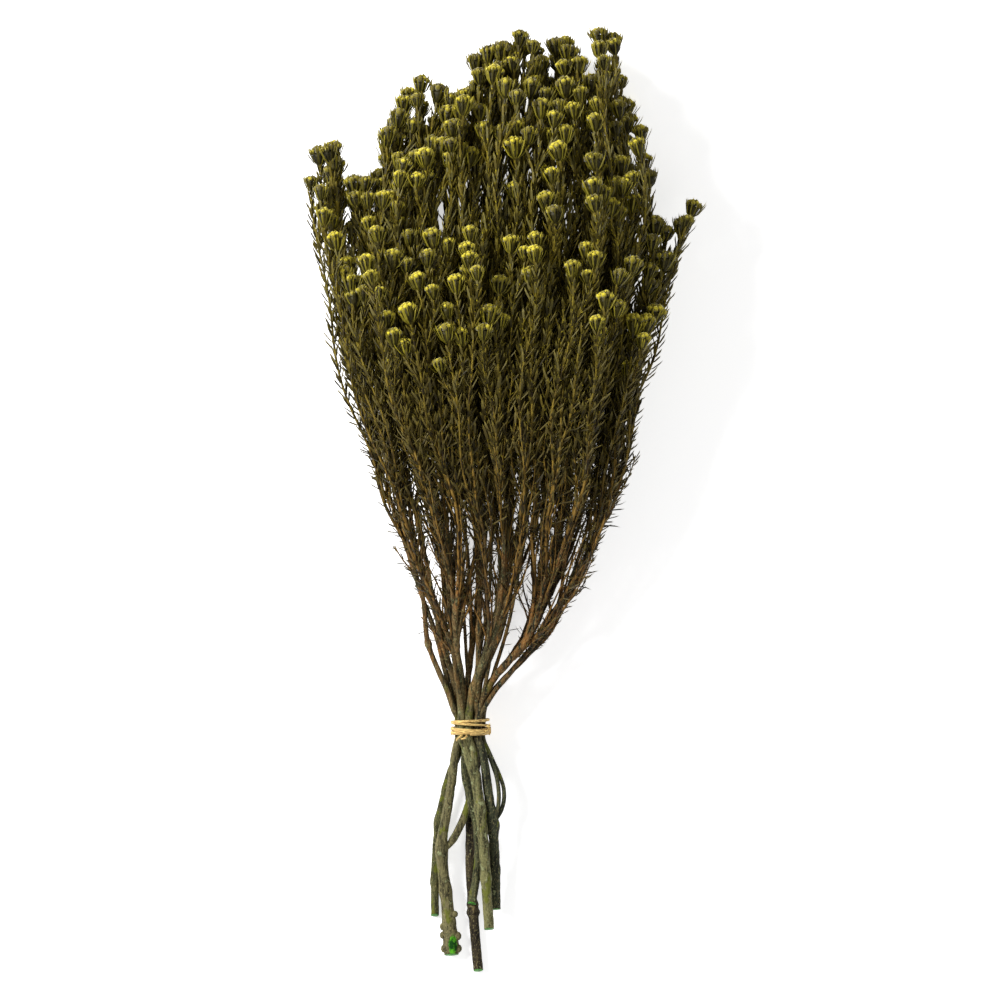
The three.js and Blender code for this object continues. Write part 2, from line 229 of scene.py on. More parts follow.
# %% From a place in the fan to a point
def in_fan(across, deep, y):
    """Points at heights y for a place in the fan, one row each."""
    settled = ease(y / SWAY_OVER)
    sway_x = SWAY[0] * settled * np.sin(y / 55 + 2.2 * across + 1.4 * deep)
    sway_z = SWAY[1] * settled * np.sin(y / 47 + 2.6 * across)
    half_width = mix(TIE_HALF[0], FAN_HALF[0], swell(y / FAN_OPENS_OVER[0]))
    half_depth = mix(TIE_HALF[1], FAN_HALF[1], swell(y / FAN_OPENS_OVER[1]))
    hollow = HOLLOW * between(HOLLOW_RISES, y) * (1 - between(HOLLOW_FALLS, y))
    x = FAN_LEAN * swell(y / FAN_LEANS_OVER) + across * half_width + sway_x
    x -= np.maximum(0, across) ** 2 * hollow
    z = mix(TIE_HEIGHT, CROWN_HEIGHT, swell(y / CROWN_RISES_OVER)) + deep * half_depth + sway_z
    return np.stack([x, y, z], -1)


def way(y, strand, spray=None, spire=None):
    """Points at heights y on the way to a strand's, a spray's or a spire's place."""
    y = np.atleast_1d(np.asarray(y, float))
    across, deep = strand["across"], strand["deep"]
    if spray:
        turned = ease((y - spray["fork"]) / SPRAY_REACH)
        across, deep = mix(across, spray["across"], turned), mix(deep, spray["deep"], turned)
    if spire:
        turned = ease((y - spire["split"]) / SPIRE_REACH)
        across, deep = mix(across, spire["across"], turned), mix(deep, spire["deep"], turned)
    tied = np.stack([np.full_like(y, strand["at"][0]), y, np.full_like(y, strand["at"][1])], -1)
    return mix(tied, in_fan(across, deep, y), ease(y / LEAVES_TIE_OVER)[:, None])


print("fan's right edge at 300 mm", in_fan(1, 0, np.array([300.0])).round(1))

# %% [markdown]
# Each stem has a base below its fork, and strands that pass through the tie and carry the
# sprays. The routes are the CAD ones: points from the cut end upwards.

# %% The stems
STEMS = {
    "stem_knobbed": dict(
        base=[(-12, -145, 4.8), (-13, -130, 5.5), (-15, -110, 7), (-17.5, -90, 9),
              (-18, -72, 11.5)],
        radius=(4.5, 3.3),
        strands=[
            dict(route=[(-18, -72, 11.5), (-15, -55, 14), (-11.5, -33, 17), (-9.4, -15, 19.4)],
                 at=(-7.5, 20.2), radius=(3, 2.4), place="middle", sprays=3),
            dict(route=[(-16, -78, 11), (-12, -73, 10.8), (-5, -60, 9.4), (0, -45, 10.1),
                        (2.5, -28, 13.4), (3, -14, 17.6)],
                 at=(2.7, 20.2), radius=(2.5, 2.2), place="middle", sprays=2)]),
    "stem_short_left": dict(
        base=[(-22.5, -120, 3), (-22.5, -95, 4), (-21.5, -75, 5.5), (-19.5, -58, 7.5),
              (-14, -33, 10)],
        radius=(2.6, 2.4),
        strands=[dict(route=[(-14, -33, 10), (-7.4, -16, 13)],
                      at=(-5.2, 14.4), radius=(2.4, 2.3), place="back", sprays=6)]),
    "stem_slim": dict(
        base=[(1, -112, 11.4), (4.5, -90, 12.2), (5, -70, 13.4), (1, -48, 15.2), (-3.4, -30, 17.6)],
        radius=(2.7, 2.4),
        strands=[dict(route=[(-3.4, -30, 17.6), (-3.2, -16, 19.6)],
                      at=(-2.6, 20.2), radius=(2.4, 2.3), place="middle", sprays=2)]),
    "stem_longest": dict(
        base=[(5, -155, 3.4), (2, -120, 3.8), (0, -91, 3.8), (0, -65, 3.8), (0, -42, 4.8)],
        radius=(3.2, 2.9),
        strands=[
            dict(route=[(0, -42, 4.8), (-0.5, -28, 8), (0, -16, 12)],
                 at=(0, 14.2), radius=(2.6, 2.3), place="back", sprays=5),
            dict(route=[(0, -42, 4.8), (3.5, -28, 7), (5.2, -16, 12)],
                 at=(5.3, 14.4), radius=(2.5, 2.3), place="back", sprays=6)]),
    "stem_forked_pale": dict(
        base=[(12, -128, 15.5), (9.6, -91, 18.6), (7.7, -65, 21), (5, -42, 23.2), (3, -30, 24.4)],
        radius=(3.2, 3.3),
        strands=[
            dict(route=[(3, -30, 24.4), (0, -22, 25), (-3.6, -11, 25.4)],
                 at=(-5.5, 25.6), radius=(2.5, 2.6), place="front", sprays=6),
            dict(route=[(3, -30, 24.4), (1.5, -14, 25.2)],
                 at=(-0.8, 25.9), radius=(2.8, 2.6), place="front", sprays=5)]),
    "stem_dark_right": dict(
        base=[(16, -116, 7), (15.4, -85, 12), (14.2, -62, 16), (11, -38, 20.8)],
        radius=(3.3, 3),
        strands=[
            dict(route=[(11, -38, 20.8), (8, -16, 24)],
                 at=(5, 25.1), radius=(2.8, 2.5), place="front", sprays=6),
            dict(route=[(14.2, -62, 16), (18, -48, 18.8), (17, -33, 19.8), (12, -18, 21)],
                 at=(8.3, 21.8), radius=(1.4, 1.2), place="middle", sprays=2),
            dict(route=[(14.2, -62, 16), (20.6, -50, 16.8), (21, -38, 17.2), (13, -18, 18.4)],
                 at=(8.5, 18.5), radius=(1.4, 1.2), place="middle", sprays=2)]),
}
print("stems", len(STEMS), "strands", sum(len(stem["strands"]) for stem in STEMS.values()))

# %% [markdown]
# The sprays of each row are dealt to the strands from left to right. On a strand, the spray
# that goes furthest forks off first, and its leaves begin where it is clear of the others.

# %% Where a spray forks and its leaves begin
GOLDEN = 0.6180339887
BARE_STEP = 2


def vary(n, kind):
    """From 0 to 1 for the nth of a kind: golden steps, so neighbours differ well."""
    return (n * GOLDEN + kind * (1 - GOLDEN)) % 1


def sprays_of(place):
    found = []
    for row in (r for r in ROWS if r["place"] == place):
        for i in range(row["sprays"]):
            across = mix(-row["half"], row["half"], i / (row["sprays"] - 1))
            found.append(dict(across=across, deep=row["deep"], drop=row["drop"]))
    found.sort(key=lambda s: s["across"])
    for i, spray in enumerate(found):
        spray["name"] = f"spray_{place}_{i + 1:02d}"
    return found


def leaves_begin(strand, spray):
    bare = spray["fork"] + SHORTEST_BARE
    while bare < spray["fork"] + LONGEST_BARE:
        here = way(bare, strand, spray)[0]
        near = [way(bare, strand, s)[0] for s in strand["sprays"] if s is not spray]
        if bare < strand["bark_end"] + LEAF_CLEARANCE:
            near.append(way(bare, strand)[0])
        if all(np.linalg.norm(p - here) > LEAF_CLEARANCE for p in near):
            break
        bare += BARE_STEP
    return bare


def plan_strand(strand, sprays):
    strand["across"] = sum(s["across"] for s in sprays) / len(sprays)
    strand["deep"] = sum(s["deep"] for s in sprays) / len(sprays)
    strand["sprays"] = sprays
    strand["bark_end"] = LAST_FORK + BARK_PAST_FORK

    def reach(s):
        return np.hypot((s["across"] - strand["across"]) * FAN_HALF[0],
                        (s["deep"] - strand["deep"]) * FAN_HALF[1])

    for i, spray in enumerate(sorted(sprays, key=reach, reverse=True)):
        spray["fork"] = mix(FIRST_FORK, LAST_FORK, i / (len(sprays) - 1))
    for spray in sprays:
        spray["bare"] = leaves_begin(strand, spray)


print("first golden steps", [round(vary(n, 0), 2) for n in range(4)])

# %% The spires of a spray
CORNERS = [(0, 0), (-1, -1), (1, 1), (-1, 1)]  # to the right and up, in side steps
NEIGHBOURS_DIFFER = 0.55


def spires_of(spray, serial):
    """A leader at the spray's own place, and two or three side spires round it."""
    corners = CORNERS[: 3 if serial % 3 else 4]
    turned = 1 if serial % 2 else -1
    made = []
    for i, (right, up) in enumerate(corners):
        nth = serial * len(CORNERS) + i
        across = spray["across"] + turned * right * SIDE_STEP[0] / FAN_HALF[0]
        deep = spray["deep"] + up * SIDE_STEP[1] / FAN_HALF[1]
        crown_x = in_fan(across, deep, np.array([float(FAN_OPENS_OVER[0])]))[0, 0]
        share = mix(vary(serial, 3), vary(nth, 4), NEIGHBOURS_DIFFER)
        drop = mix(*spray["drop"], share)
        tip = np.interp(crown_x, CROWN_X, CROWN_Y) - drop
        split = spray["bare"] + mix(*SPLIT_PAST_BARE, vary(nth, 5))
        made.append(dict(across=across, deep=deep, tip=tip, split=split, drop=drop))
    latest = mix(spray["bare"], made[0]["tip"], LATEST_SPLIT)
    for spire in made:
        spire["split"] = min(spire["split"], latest)
    return made


print("a spray has", len(CORNERS) - 1, "or", len(CORNERS), "spires")

# %% Deal the sprays to the strands
strands = [strand for stem in STEMS.values() for strand in stem["strands"]]
for place in ("back", "middle", "front"):
    waiting = sprays_of(place)
    for strand in sorted((s for s in strands if s["place"] == place), key=lambda s: s["at"][0]):
        count = strand["sprays"]
        plan_strand(strand, waiting[:count])
        waiting = waiting[count:]

serial = 0
for strand in strands:
    for spray in strand["sprays"]:
        spray["spires"] = spires_of(spray, serial)
        serial += 1

print("sprays", serial)

# %% From millimetres round the tie to the CAD frame
MM, PER_METRE = 0.001, 1000
LOWEST_CUT = -155
tie_low, tie_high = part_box("raffia_tie")
ORIGIN = np.array([
    (tie_low.x + tie_high.x) / 2 * PER_METRE,
    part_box("stem_longest")[0].y * PER_METRE - LOWEST_CUT,
    (tie_low.z + tie_high.z) / 2 * PER_METRE - TIE_HEIGHT,
])


def placed(points):
    """Points in millimetres from the tie, moved to the CAD frame in metres."""
    return (np.asarray(points, float) + ORIGIN) * MM


worst = 0
for strand in strands:
    for spray in strand["sprays"]:
        low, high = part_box(spray["name"])
        tips = np.array([placed(way(s["tip"], strand, spray, s))[0] for s in spray["spires"]])
        worst = max(worst, abs(tips[:, 1].max() - high.y))
print("origin", ORIGIN.round(2), "worst tip error in mm", round(worst * PER_METRE, 2))

# %% [markdown]
# ## Templates and piles
#
# A bunch has tens of thousands of leaves, too many to model by hand and too many for one
# operator each. The answer is what a propmaker does: mould one leaf, one bract and one
# floret, and lay down copies. A template is moulded once with bmesh operators. A pile then
# gathers its copies, each put in its own place with numpy, and becomes one mesh.
#
# Every copy also gets its own small cell in the map that a bake uses, and two numbers that
# its material reads: tone, which differs from leaf to leaf, and tip, which runs along it.

# %% Template
class Template:
    """The vertices, corners, face sizes and cell map of one moulded shape."""

    def __init__(self, bm, in_order=False):
        """in_order sorts the faces, as the sphere operator starts them anywhere."""
        bm.verts.index_update()
        self.points = np.array([v.co[:] for v in bm.verts])
        faces = [list(f.verts) for f in bm.faces]
        if in_order:
            faces = sorted(map(self.from_lowest, faces), key=lambda face: [v.index for v in face])
        self.corners = np.array([v.index for face in faces for v in face])
        self.sizes = np.array([len(face) for face in faces])
        self.map = np.array([uv for face in faces for uv in self.unrolled(face)])
        low, high = self.map.min(0), self.map.max(0)
        self.map = (self.map - low) / (high - low)
        bm.free()

    @staticmethod
    def from_lowest(face):
        first = min(range(len(face)), key=lambda i: face[i].index)
        return face[first:] + face[:first]

    @staticmethod
    def unrolled(face):
        """Each corner's turn about Z, kept next to its face's middle, and its height."""
        middle = sum((v.co for v in face), Vector()) / len(face)
        turn = np.arctan2(middle.y, middle.x)
        for v in face:
            on_axis = np.hypot(v.co.x, v.co.y) < 1e-6
            away = 0 if on_axis else np.arctan2(v.co.y, v.co.x) - turn
            yield turn + (away + np.pi) % (2 * np.pi) - np.pi, v.co.z


def triangles(made):
    return sum(len(p.vertices) - 2 for p in made.data.polygons)


cube = bmesh.new()
bmesh.ops.create_cube(cube, size=1)
print("a cube's template has", len(Template(cube).points), "points")

# %% Pile
CELL_EDGE = 0.08  # the share of a cell that is left free on each side


class Pile:
    """Copies of templates that become one mesh."""

    def __init__(self):
        self.points, self.corners, self.sizes, self.slots = [], [], [], []
        self.tone, self.tip, self.maps, self.smooth = [], [], [], []
        self.count = 0
        self.cells = []

    def add(self, template, places, slot=0, tone=0.5, tip=None, cells=1, smooth=True):
        """places holds the vertices of k copies, as an array k by n by 3, in millimetres."""
        k, n = places.shape[:2]
        self.points.append(places.reshape(-1, 3))
        steps = self.count + n * np.arange(k)
        self.corners.append((template.corners + steps[:, None]).ravel())
        self.sizes.append(np.tile(template.sizes, k))
        self.slots.append(np.broadcast_to(slot, (k, len(template.sizes))).ravel())
        self.smooth.append(np.full(k * len(template.sizes), smooth))
        self.tone.append(np.repeat(np.broadcast_to(tone, k), n))
        along = template.points[:, 2] if tip is None else tip
        self.tip.append(np.broadcast_to(along, (k, n)).ravel())
        self.maps.append((np.tile(template.map, (k, 1)), len(template.corners), cells))
        self.cells += [cells] * k
        self.count += k * n

    def cell_map(self):
        """The corners' places in a square sheet of cells, one strip of cells for each copy."""
        side = int(np.ceil(np.sqrt(sum(self.cells)))) + 1
        side = max(side, max(self.cells))
        column, row, found = 0, 0, []
        for cells in self.cells:
            if column + cells > side:
                column, row = 0, row + 1
            found.append((column, row, cells))
            column += cells
        places = iter(found)
        sheets = []
        for own, corners, cells in self.maps:
            k = len(own) // corners
            at = np.array([next(places) for _ in range(k)], float).repeat(corners, 0)
            u = at[:, 0] + CELL_EDGE + (at[:, 2] - 2 * CELL_EDGE) * own[:, 1]
            v = at[:, 1] + CELL_EDGE + (1 - 2 * CELL_EDGE) * own[:, 0]
            sheets.append(np.stack([u, v], 1))
        return np.concatenate(sheets) / max(side, row + 1)

    def to_object(self, name, materials):
        points = placed(np.concatenate(self.points))
        points[:, 2] = np.maximum(points[:, 2], cad_low.z)
        corners, sizes = np.concatenate(self.corners), np.concatenate(self.sizes)
        mesh = bpy.data.meshes.new(name)
        mesh.vertices.add(len(points))
        mesh.vertices.foreach_set("co", points.ravel())
        mesh.loops.add(len(corners))
        mesh.loops.foreach_set("vertex_index", corners)
        mesh.polygons.add(len(sizes))
        mesh.polygons.foreach_set("loop_start", np.cumsum(sizes) - sizes)
        mesh.polygons.foreach_set("material_index", np.concatenate(self.slots))
        mesh.polygons.foreach_set("use_smooth", np.concatenate(self.smooth))
        mesh.update(calc_edges=True)
        for key, values in (("tone", self.tone), ("tip", self.tip)):
            numbers = mesh.attributes.new(key, "FLOAT", "POINT")
            numbers.data.foreach_set("value", np.concatenate(values))
        mesh.uv_layers.new(name="OFBake").uv.foreach_set("vector", self.cell_map().ravel())
        for material in materials:
            mesh.materials.append(material)
        made = bpy.data.objects.new(name, mesh)
        bpy.context.collection.objects.link(made)
        return made


print("an empty pile has", Pile().count, "vertices")

# %% [markdown]
# The moulds. A phylica leaf is a narrow stiff blade, flat above and keeled below, so its
# mould is a sphere of three sides, drawn out to a point. A bract is the same but broader and
# blunter. A floret is a plain low sphere, and the cup that holds the florets is a sphere
# pulled into the shape of a spinning top.

# %% Mould the leaf, bract, floret and cup
def moulded(sides, rings, shape):
    """A low sphere, standing on its pole with a height of 1, whose vertices shape moves."""
    bm = bmesh.new()
    bmesh.ops.create_uvsphere(bm, u_segments=sides, v_segments=rings, radius=0.5)
    bmesh.ops.rotate(bm, verts=bm.verts, matrix=Matrix.Rotation(np.pi / 6, 3, "Z"))
    bmesh.ops.translate(bm, verts=bm.verts, vec=(0, 0, 0.5))
    for v in bm.verts:
        v.co = shape(v.co)
    bmesh.ops.recalc_face_normals(bm, faces=bm.faces)
    return Template(bm, in_order=True)


def blade(widest, keel):
    """Half a unit wide at its widest, which lies at that share of its length."""
    def shape(co):
        round_part = 2 * np.hypot(co.x, co.y) or 1
        height = co.z ** (np.log(widest) / np.log(0.5))
        full = np.sin(np.pi * co.z) ** 0.8
        across, deep = co.x / round_part, co.y / round_part
        return Vector((across * full, deep * full * keel, height))
    return shape


def cup(co):
    """A top shape: narrow at its foot, half a unit in radius near its flat top."""
    round_part = 2 * np.hypot(co.x, co.y)
    if round_part < 1e-6:
        return co.copy()
    reach = mix(0.15, 1, co.z**0.5) / round_part
    return Vector((co.x * reach, co.y * reach, co.z))


LEAF = moulded(3, 3, blade(widest=0.45, keel=0.5))
BRACT = moulded(3, 3, blade(widest=0.62, keel=0.6))
FLORET = moulded(5, 3, lambda co: co)
CUP = moulded(8, 5, cup)
GALL = moulded(10, 7, lambda co: co)
MOULDS = {"leaf": LEAF, "bract": BRACT, "floret": FLORET, "cup": CUP, "gall": GALL}
print("faces", {name: len(mould.sizes) for name, mould in MOULDS.items()})

# %% [markdown]
# A twig is a closed rod that follows a route. Its mould is a cone operator's cylinder, cut
# into rings, and each ring then moves to its own point of the route. One mould serves every
# rod with the same number of rings and sides.

# %% Rods that follow a route
rod_moulds = {}
CUT_END = -1  # a slot number for rods whose first end has the second material
RINGS_PER_CELL, SLANT_FADES_OVER = 3, 2


def rod_mould(rings, sides):
    if (rings, sides) not in rod_moulds:
        bm = bmesh.new()
        bmesh.ops.create_cone(bm, cap_ends=True, segments=sides, radius1=1, radius2=1,
                              depth=rings - 1)
        lengthways = [e for e in bm.edges if abs(e.verts[0].co.z - e.verts[1].co.z) > 0.5]
        bmesh.ops.subdivide_edges(bm, edges=lengthways, cuts=rings - 2)
        bmesh.ops.translate(bm, verts=bm.verts, vec=(0, 0, (rings - 1) / 2))
        rod_moulds[rings, sides] = Template(bm)
    return rod_moulds[rings, sides]


def frames(points, up=(0, 0, 1.0)):
    """The direction of a route at each of its points, and two directions square to it."""
    ahead = np.gradient(points, axis=0)
    ahead /= np.linalg.norm(ahead, axis=1)[:, None]
    side = np.cross(ahead, up)
    side /= np.linalg.norm(side, axis=1)[:, None]
    return ahead, side, np.cross(side, ahead)


def rod(pile, points, radius, sides=6, relief=None, slot=0, tone=0.5, slant=0):
    """radius has one number for each point. relief adds a number to it for each vertex.
    slant tilts the first end. With slot CUT_END, only that end has the second material."""
    mould = rod_mould(len(points), sides)
    ring = np.rint(mould.points[:, 2]).astype(int)
    ahead, side, top = frames(points)
    reach = np.asarray(radius, float)[ring]
    turn = np.arctan2(mould.points[:, 1], mould.points[:, 0])
    if relief is not None:
        reach = reach + relief(points[ring], turn, ring)
    x, y = np.cos(turn) * reach, np.sin(turn) * reach
    vertices = points[ring] + side[ring] * x[:, None] + top[ring] * y[:, None]
    vertices += ahead[ring] * (slant * np.sin(turn) * np.exp(-ring / SLANT_FADES_OVER))[:, None]
    if slot == CUT_END:
        starts = np.cumsum(mould.sizes) - mould.sizes
        slot = (np.maximum.reduceat(ring[mould.corners], starts) == 0).astype(int)
    cells = max(2, len(points) // RINGS_PER_CELL)
    pile.add(mould, vertices[None], slot, tone, ring / (len(points) - 1), cells)


def spaced(points, step):
    """The same route with its points the same distance apart, about step."""
    lengths = np.r_[0, np.cumsum(np.linalg.norm(np.diff(points, axis=0), axis=1))]
    count = max(3, int(round(lengths[-1] / step)) + 1)
    at = np.linspace(0, lengths[-1], count)
    return np.stack([np.interp(at, lengths, points[:, i]) for i in range(3)], -1)


def smooth_route(points, cuts=12):
    """A centripetal curve through the points, as the CAD bars have."""
    p = np.asarray(points, float)
    p = np.vstack([2 * p[0] - p[1], p, 2 * p[-1] - p[-2]])
    found = []
    for a, b, c, d in zip(p, p[1:], p[2:], p[3:]):
        ab, bc, cd = (np.sqrt(np.linalg.norm(v)) for v in (b - a, c - b, d - c))
        leave = ((b - a) / ab - (c - a) / (ab + bc) + (c - b) / bc) * bc
        reach = ((c - b) / bc - (d - b) / (bc + cd) + (d - c) / cd) * bc
        t = np.linspace(0, 1, cuts, endpoint=False)[:, None]
        found.append((2 * t**3 - 3 * t**2 + 1) * b + (t**3 - 2 * t**2 + t) * leave
                     + (3 * t**2 - 2 * t**3) * c + (t**3 - t**2) * reach)
    return np.vstack([*found, p[-2]])


print("a rod of 4 rings and 6 sides has", len(rod_mould(4, 6).points), "points")

# %% [markdown]
# ## Materials by arithmetic
#
# A material is easier to read as a sum than as a picture of wires. Wave wraps one socket, so
# that an expression such as 1 - mask adds the Math node it needs. Paint holds a material's
# tree, and its node method adds any other node.

# %% Shader arithmetic
class Wave:
    """One socket of a tree, with the sums that the materials below use."""

    def __init__(self, tree, socket):
        self.tree, self.socket = tree, socket

    def maths(self, operation, first, second=None):
        node = self.tree.nodes.new("ShaderNodeMath")
        node.operation = operation
        for socket, value in zip(node.inputs, (first, second)):
            if isinstance(value, Wave):
                self.tree.links.new(value.socket, socket)
            elif value is not None:
                socket.default_value = value
        return Wave(self.tree, node.outputs[0])

    def __add__(self, other):
        return self.maths("ADD", self, other)

    def __sub__(self, other):
        return self.maths("SUBTRACT", self, other)

    def __rsub__(self, other):
        return self.maths("SUBTRACT", other, self)

    def __mul__(self, other):
        return self.maths("MULTIPLY", self, other)

    __radd__, __rmul__ = __add__, __mul__


print("sums", [name for name in vars(Wave) if name.endswith(("add__", "sub__", "mul__"))])

# %% Paint
MIX_SOCKETS, MIX_RESULT = (0, 6, 7), 2  # factor and two colours, and the mixed colour


class Paint:
    """A material whose nodes are added one line at a time."""

    def __init__(self, name):
        self.material = bpy.data.materials.new(name)
        self.material.use_nodes = True
        self.tree = self.material.node_tree
        self.shader = self.tree.nodes["Principled BSDF"]
        self.place = self.node("ShaderNodeTexCoord", out="Object")

    def node(self, kind, settings=None, sockets=None, out=0):
        node = self.tree.nodes.new(kind)
        for key, value in (settings or {}).items():
            setattr(node, key, value)
        self.fill(node, sockets or {})
        return Wave(self.tree, node.outputs[out])

    def fill(self, node, sockets):
        for key, value in sockets.items():
            if isinstance(value, Wave):
                self.tree.links.new(value.socket, node.inputs[key])
            else:
                node.inputs[key].default_value = value

    def number(self, name):
        """An attribute of the mesh that holds one number for each vertex."""
        return self.node("ShaderNodeAttribute", {"attribute_name": name}, out="Fac")

    def noise(self, scale, detail=3, stretch=(1, 1, 1), rough=0.55):
        at = self.node("ShaderNodeMapping", None, {"Vector": self.place, "Scale": stretch})
        return self.node("ShaderNodeTexNoise", None,
                         {"Vector": at, "Scale": scale, "Detail": detail, "Roughness": rough})

    def step(self, value, low, high):
        """0 below low, 1 above high and smooth between."""
        return self.node("ShaderNodeMapRange", {"interpolation_type": "SMOOTHSTEP"},
                         {"Value": value, "From Min": low, "From Max": high})

    def blend(self, factor, first, second, kind="MIX"):
        node = self.tree.nodes.new("ShaderNodeMix")
        node.data_type, node.blend_type = "RGBA", kind
        for at, value in zip(MIX_SOCKETS, (factor, first, second)):
            single = isinstance(value, (Wave, float, int))
            self.fill(node, {at: value if single else (*value, 1)})
        return Wave(self.tree, node.outputs[MIX_RESULT])

    def along(self, axis):
        """One Object coordinate, in metres."""
        return self.node("ShaderNodeSeparateXYZ", None, {0: self.place}, out=axis)

    def bump(self, height, distance, strength=1.0):
        return self.node("ShaderNodeBump", None,
                         {"Height": height, "Distance": distance, "Strength": strength})

    def finish(self, **sockets):
        self.fill(self.shader, {k.replace("_", " "): v for k, v in sockets.items()})
        return self.material


def rgb(red, green, blue):
    """A colour mixed on a 0 to 255 scale, as the linear light a shader wants."""
    return tuple(((c / 255 + 0.055) / 1.055) ** 2.4 for c in (red, green, blue))


print("a middle grey in linear light", round(rgb(128, 128, 128)[0], 3))

# %% [markdown]
# ### Bark
#
# Old phylica wood is grey-green below the tie, where it stood in the damp, and turns brown
# towards the leaves. Long cracks run up it, and they are dark: partly their own colour and
# partly painted shade in the grooves. Crusts of pale lichen and a little moss sit on the lower
# wood. Each stem gets its own mix of the same layers.

# %% A scar in the bark
TIE_Y = ORIGIN[1] * MM
SCAR_AT, SCAR_HALF = (-11.0, -138.5), (2.8, 6.4)


def scar_mask(paint):
    """1 inside a small oval of the knobbed stem, where its bark is torn off."""
    x = (paint.along("X") - (SCAR_AT[0] + ORIGIN[0]) * MM) * (1 / SCAR_HALF[0] / MM)
    y = (paint.along("Y") - (SCAR_AT[1] + ORIGIN[1]) * MM) * (1 / SCAR_HALF[1] / MM)
    ragged = paint.noise(500, 2)
    above = paint.step(paint.along("Z"), 0.006, 0.0075)
    return paint.step(x * x + y * y + 1.6 * ragged, 1.9, 1.5) * above


print("tie's middle at y =", round(TIE_Y, 4))

# %% Bark
LITTLE_SHINE = 0.2  # dry plants hardly shine
BLACK_BARK, ORANGE_BARK, RIDGE = rgb(40, 32, 18), rgb(136, 94, 46), rgb(158, 140, 92)
SPECK, PIT = rgb(160, 148, 100), rgb(34, 28, 18)
LICHEN, MOSS = rgb(158, 164, 118), rgb(98, 104, 24)
SCAR_DARK, SCAR_LIGHT = rgb(16, 66, 10), rgb(104, 200, 40)


def bark(name, old, young, lichen_share, moss_share, scarred=False):
    paint = Paint(name)
    streaks = paint.noise(420, 4, (1, 0.16, 1), 0.65)
    patches = paint.noise(60, 3, (1, 0.6, 1))
    speckle = paint.noise(1100, 2, (1, 0.6, 1))
    tone = paint.number("tone")
    height = paint.along("Y") + 0.05 * patches
    aged = paint.step(height, TIE_Y, TIE_Y + 0.09)
    grown = paint.blend(aged, old, young)
    base = paint.blend(0.75 * paint.step(tone, 0.75, 0.1) * aged, grown, BLACK_BARK)
    warm = paint.blend(paint.step(patches, 0.5, 0.66) * aged, base, ORANGE_BARK)
    # Dark cracks: partly their own colour, partly painted shade in the grooves.
    dark = paint.blend(paint.step(streaks, 0.38, 0.55), tuple(c * 0.25 for c in old), warm)
    ridge = paint.blend(paint.step(streaks, 0.6, 0.72) * 0.5, dark, RIDGE)
    specks = paint.blend(paint.step(speckle, 0.56, 0.66) * 0.42, ridge, SPECK)
    pits = paint.blend(paint.step(speckle, 0.44, 0.32) * 0.62, specks, PIT)
    crust = paint.noise(260, 4, (1, 0.7, 1), 0.7)
    lichen = paint.step(crust, 0.66 - lichen_share, 0.7 - lichen_share) * (1 - 0.8 * aged)
    crusted = paint.blend(lichen * 0.75, pits, LICHEN)
    mossy = paint.noise(110, 3, (1, 0.5, 1))
    moss = paint.step(mossy, 0.7 - moss_share, 0.75 - moss_share) * (1 - aged)
    colour = paint.blend(moss * 0.75, crusted, MOSS)
    if scarred:
        green = paint.blend(paint.step(crust, 0.4, 0.62), SCAR_DARK, SCAR_LIGHT)
        colour = paint.blend(scar_mask(paint), colour, green)
    relief = streaks + 0.8 * speckle + 0.5 * crust + 0.5 * lichen
    return paint.finish(Base_Color=colour, Roughness=0.72 + 0.2 * patches,
                        Specular_IOR_Level=LITTLE_SHINE, Normal=paint.bump(relief, 0.0009))

print("colours of bark", len([BLACK_BARK, ORANGE_BARK, RIDGE, SPECK, PIT, LICHEN, MOSS]))

# %% A bark for each stem
BARKS = {
    "stem_knobbed": bark("bark_knobbed", rgb(112, 106, 72), rgb(110, 80, 44), 0.06, 0.08, True),
    "stem_short_left": bark("bark_short", rgb(84, 84, 50), rgb(96, 70, 40), 0.04, 0.1),
    # The slim and the longest stem's old bark is partly its own colour, partly painted shade.
    "stem_slim": bark("bark_slim", rgb(82, 84, 56), rgb(120, 90, 48), 0.05, 0.06),
    "stem_longest": bark("bark_longest", rgb(58, 50, 36), rgb(100, 72, 40), 0.02, 0.05),
    "stem_forked_pale": bark("bark_pale", rgb(118, 116, 76), rgb(104, 82, 50), 0.08, 0.1),
    "stem_dark_right": bark("bark_dark", rgb(66, 70, 50), rgb(124, 86, 42), 0.04, 0.06),
}


def cut_wood():
    """The fresh face of a cut stem, bright green from rim to core."""
    paint = Paint("cut_wood")
    grain = paint.noise(700, 3)
    colour = paint.blend(paint.step(grain, 0.35, 0.7), rgb(30, 88, 16), rgb(84, 176, 40))
    return paint.finish(Base_Color=colour, Roughness=0.5 + 0.3 * grain,
                        Normal=paint.bump(grain, 0.0003))


CUT = cut_wood()
print("barks", len(BARKS), "and", CUT.name)
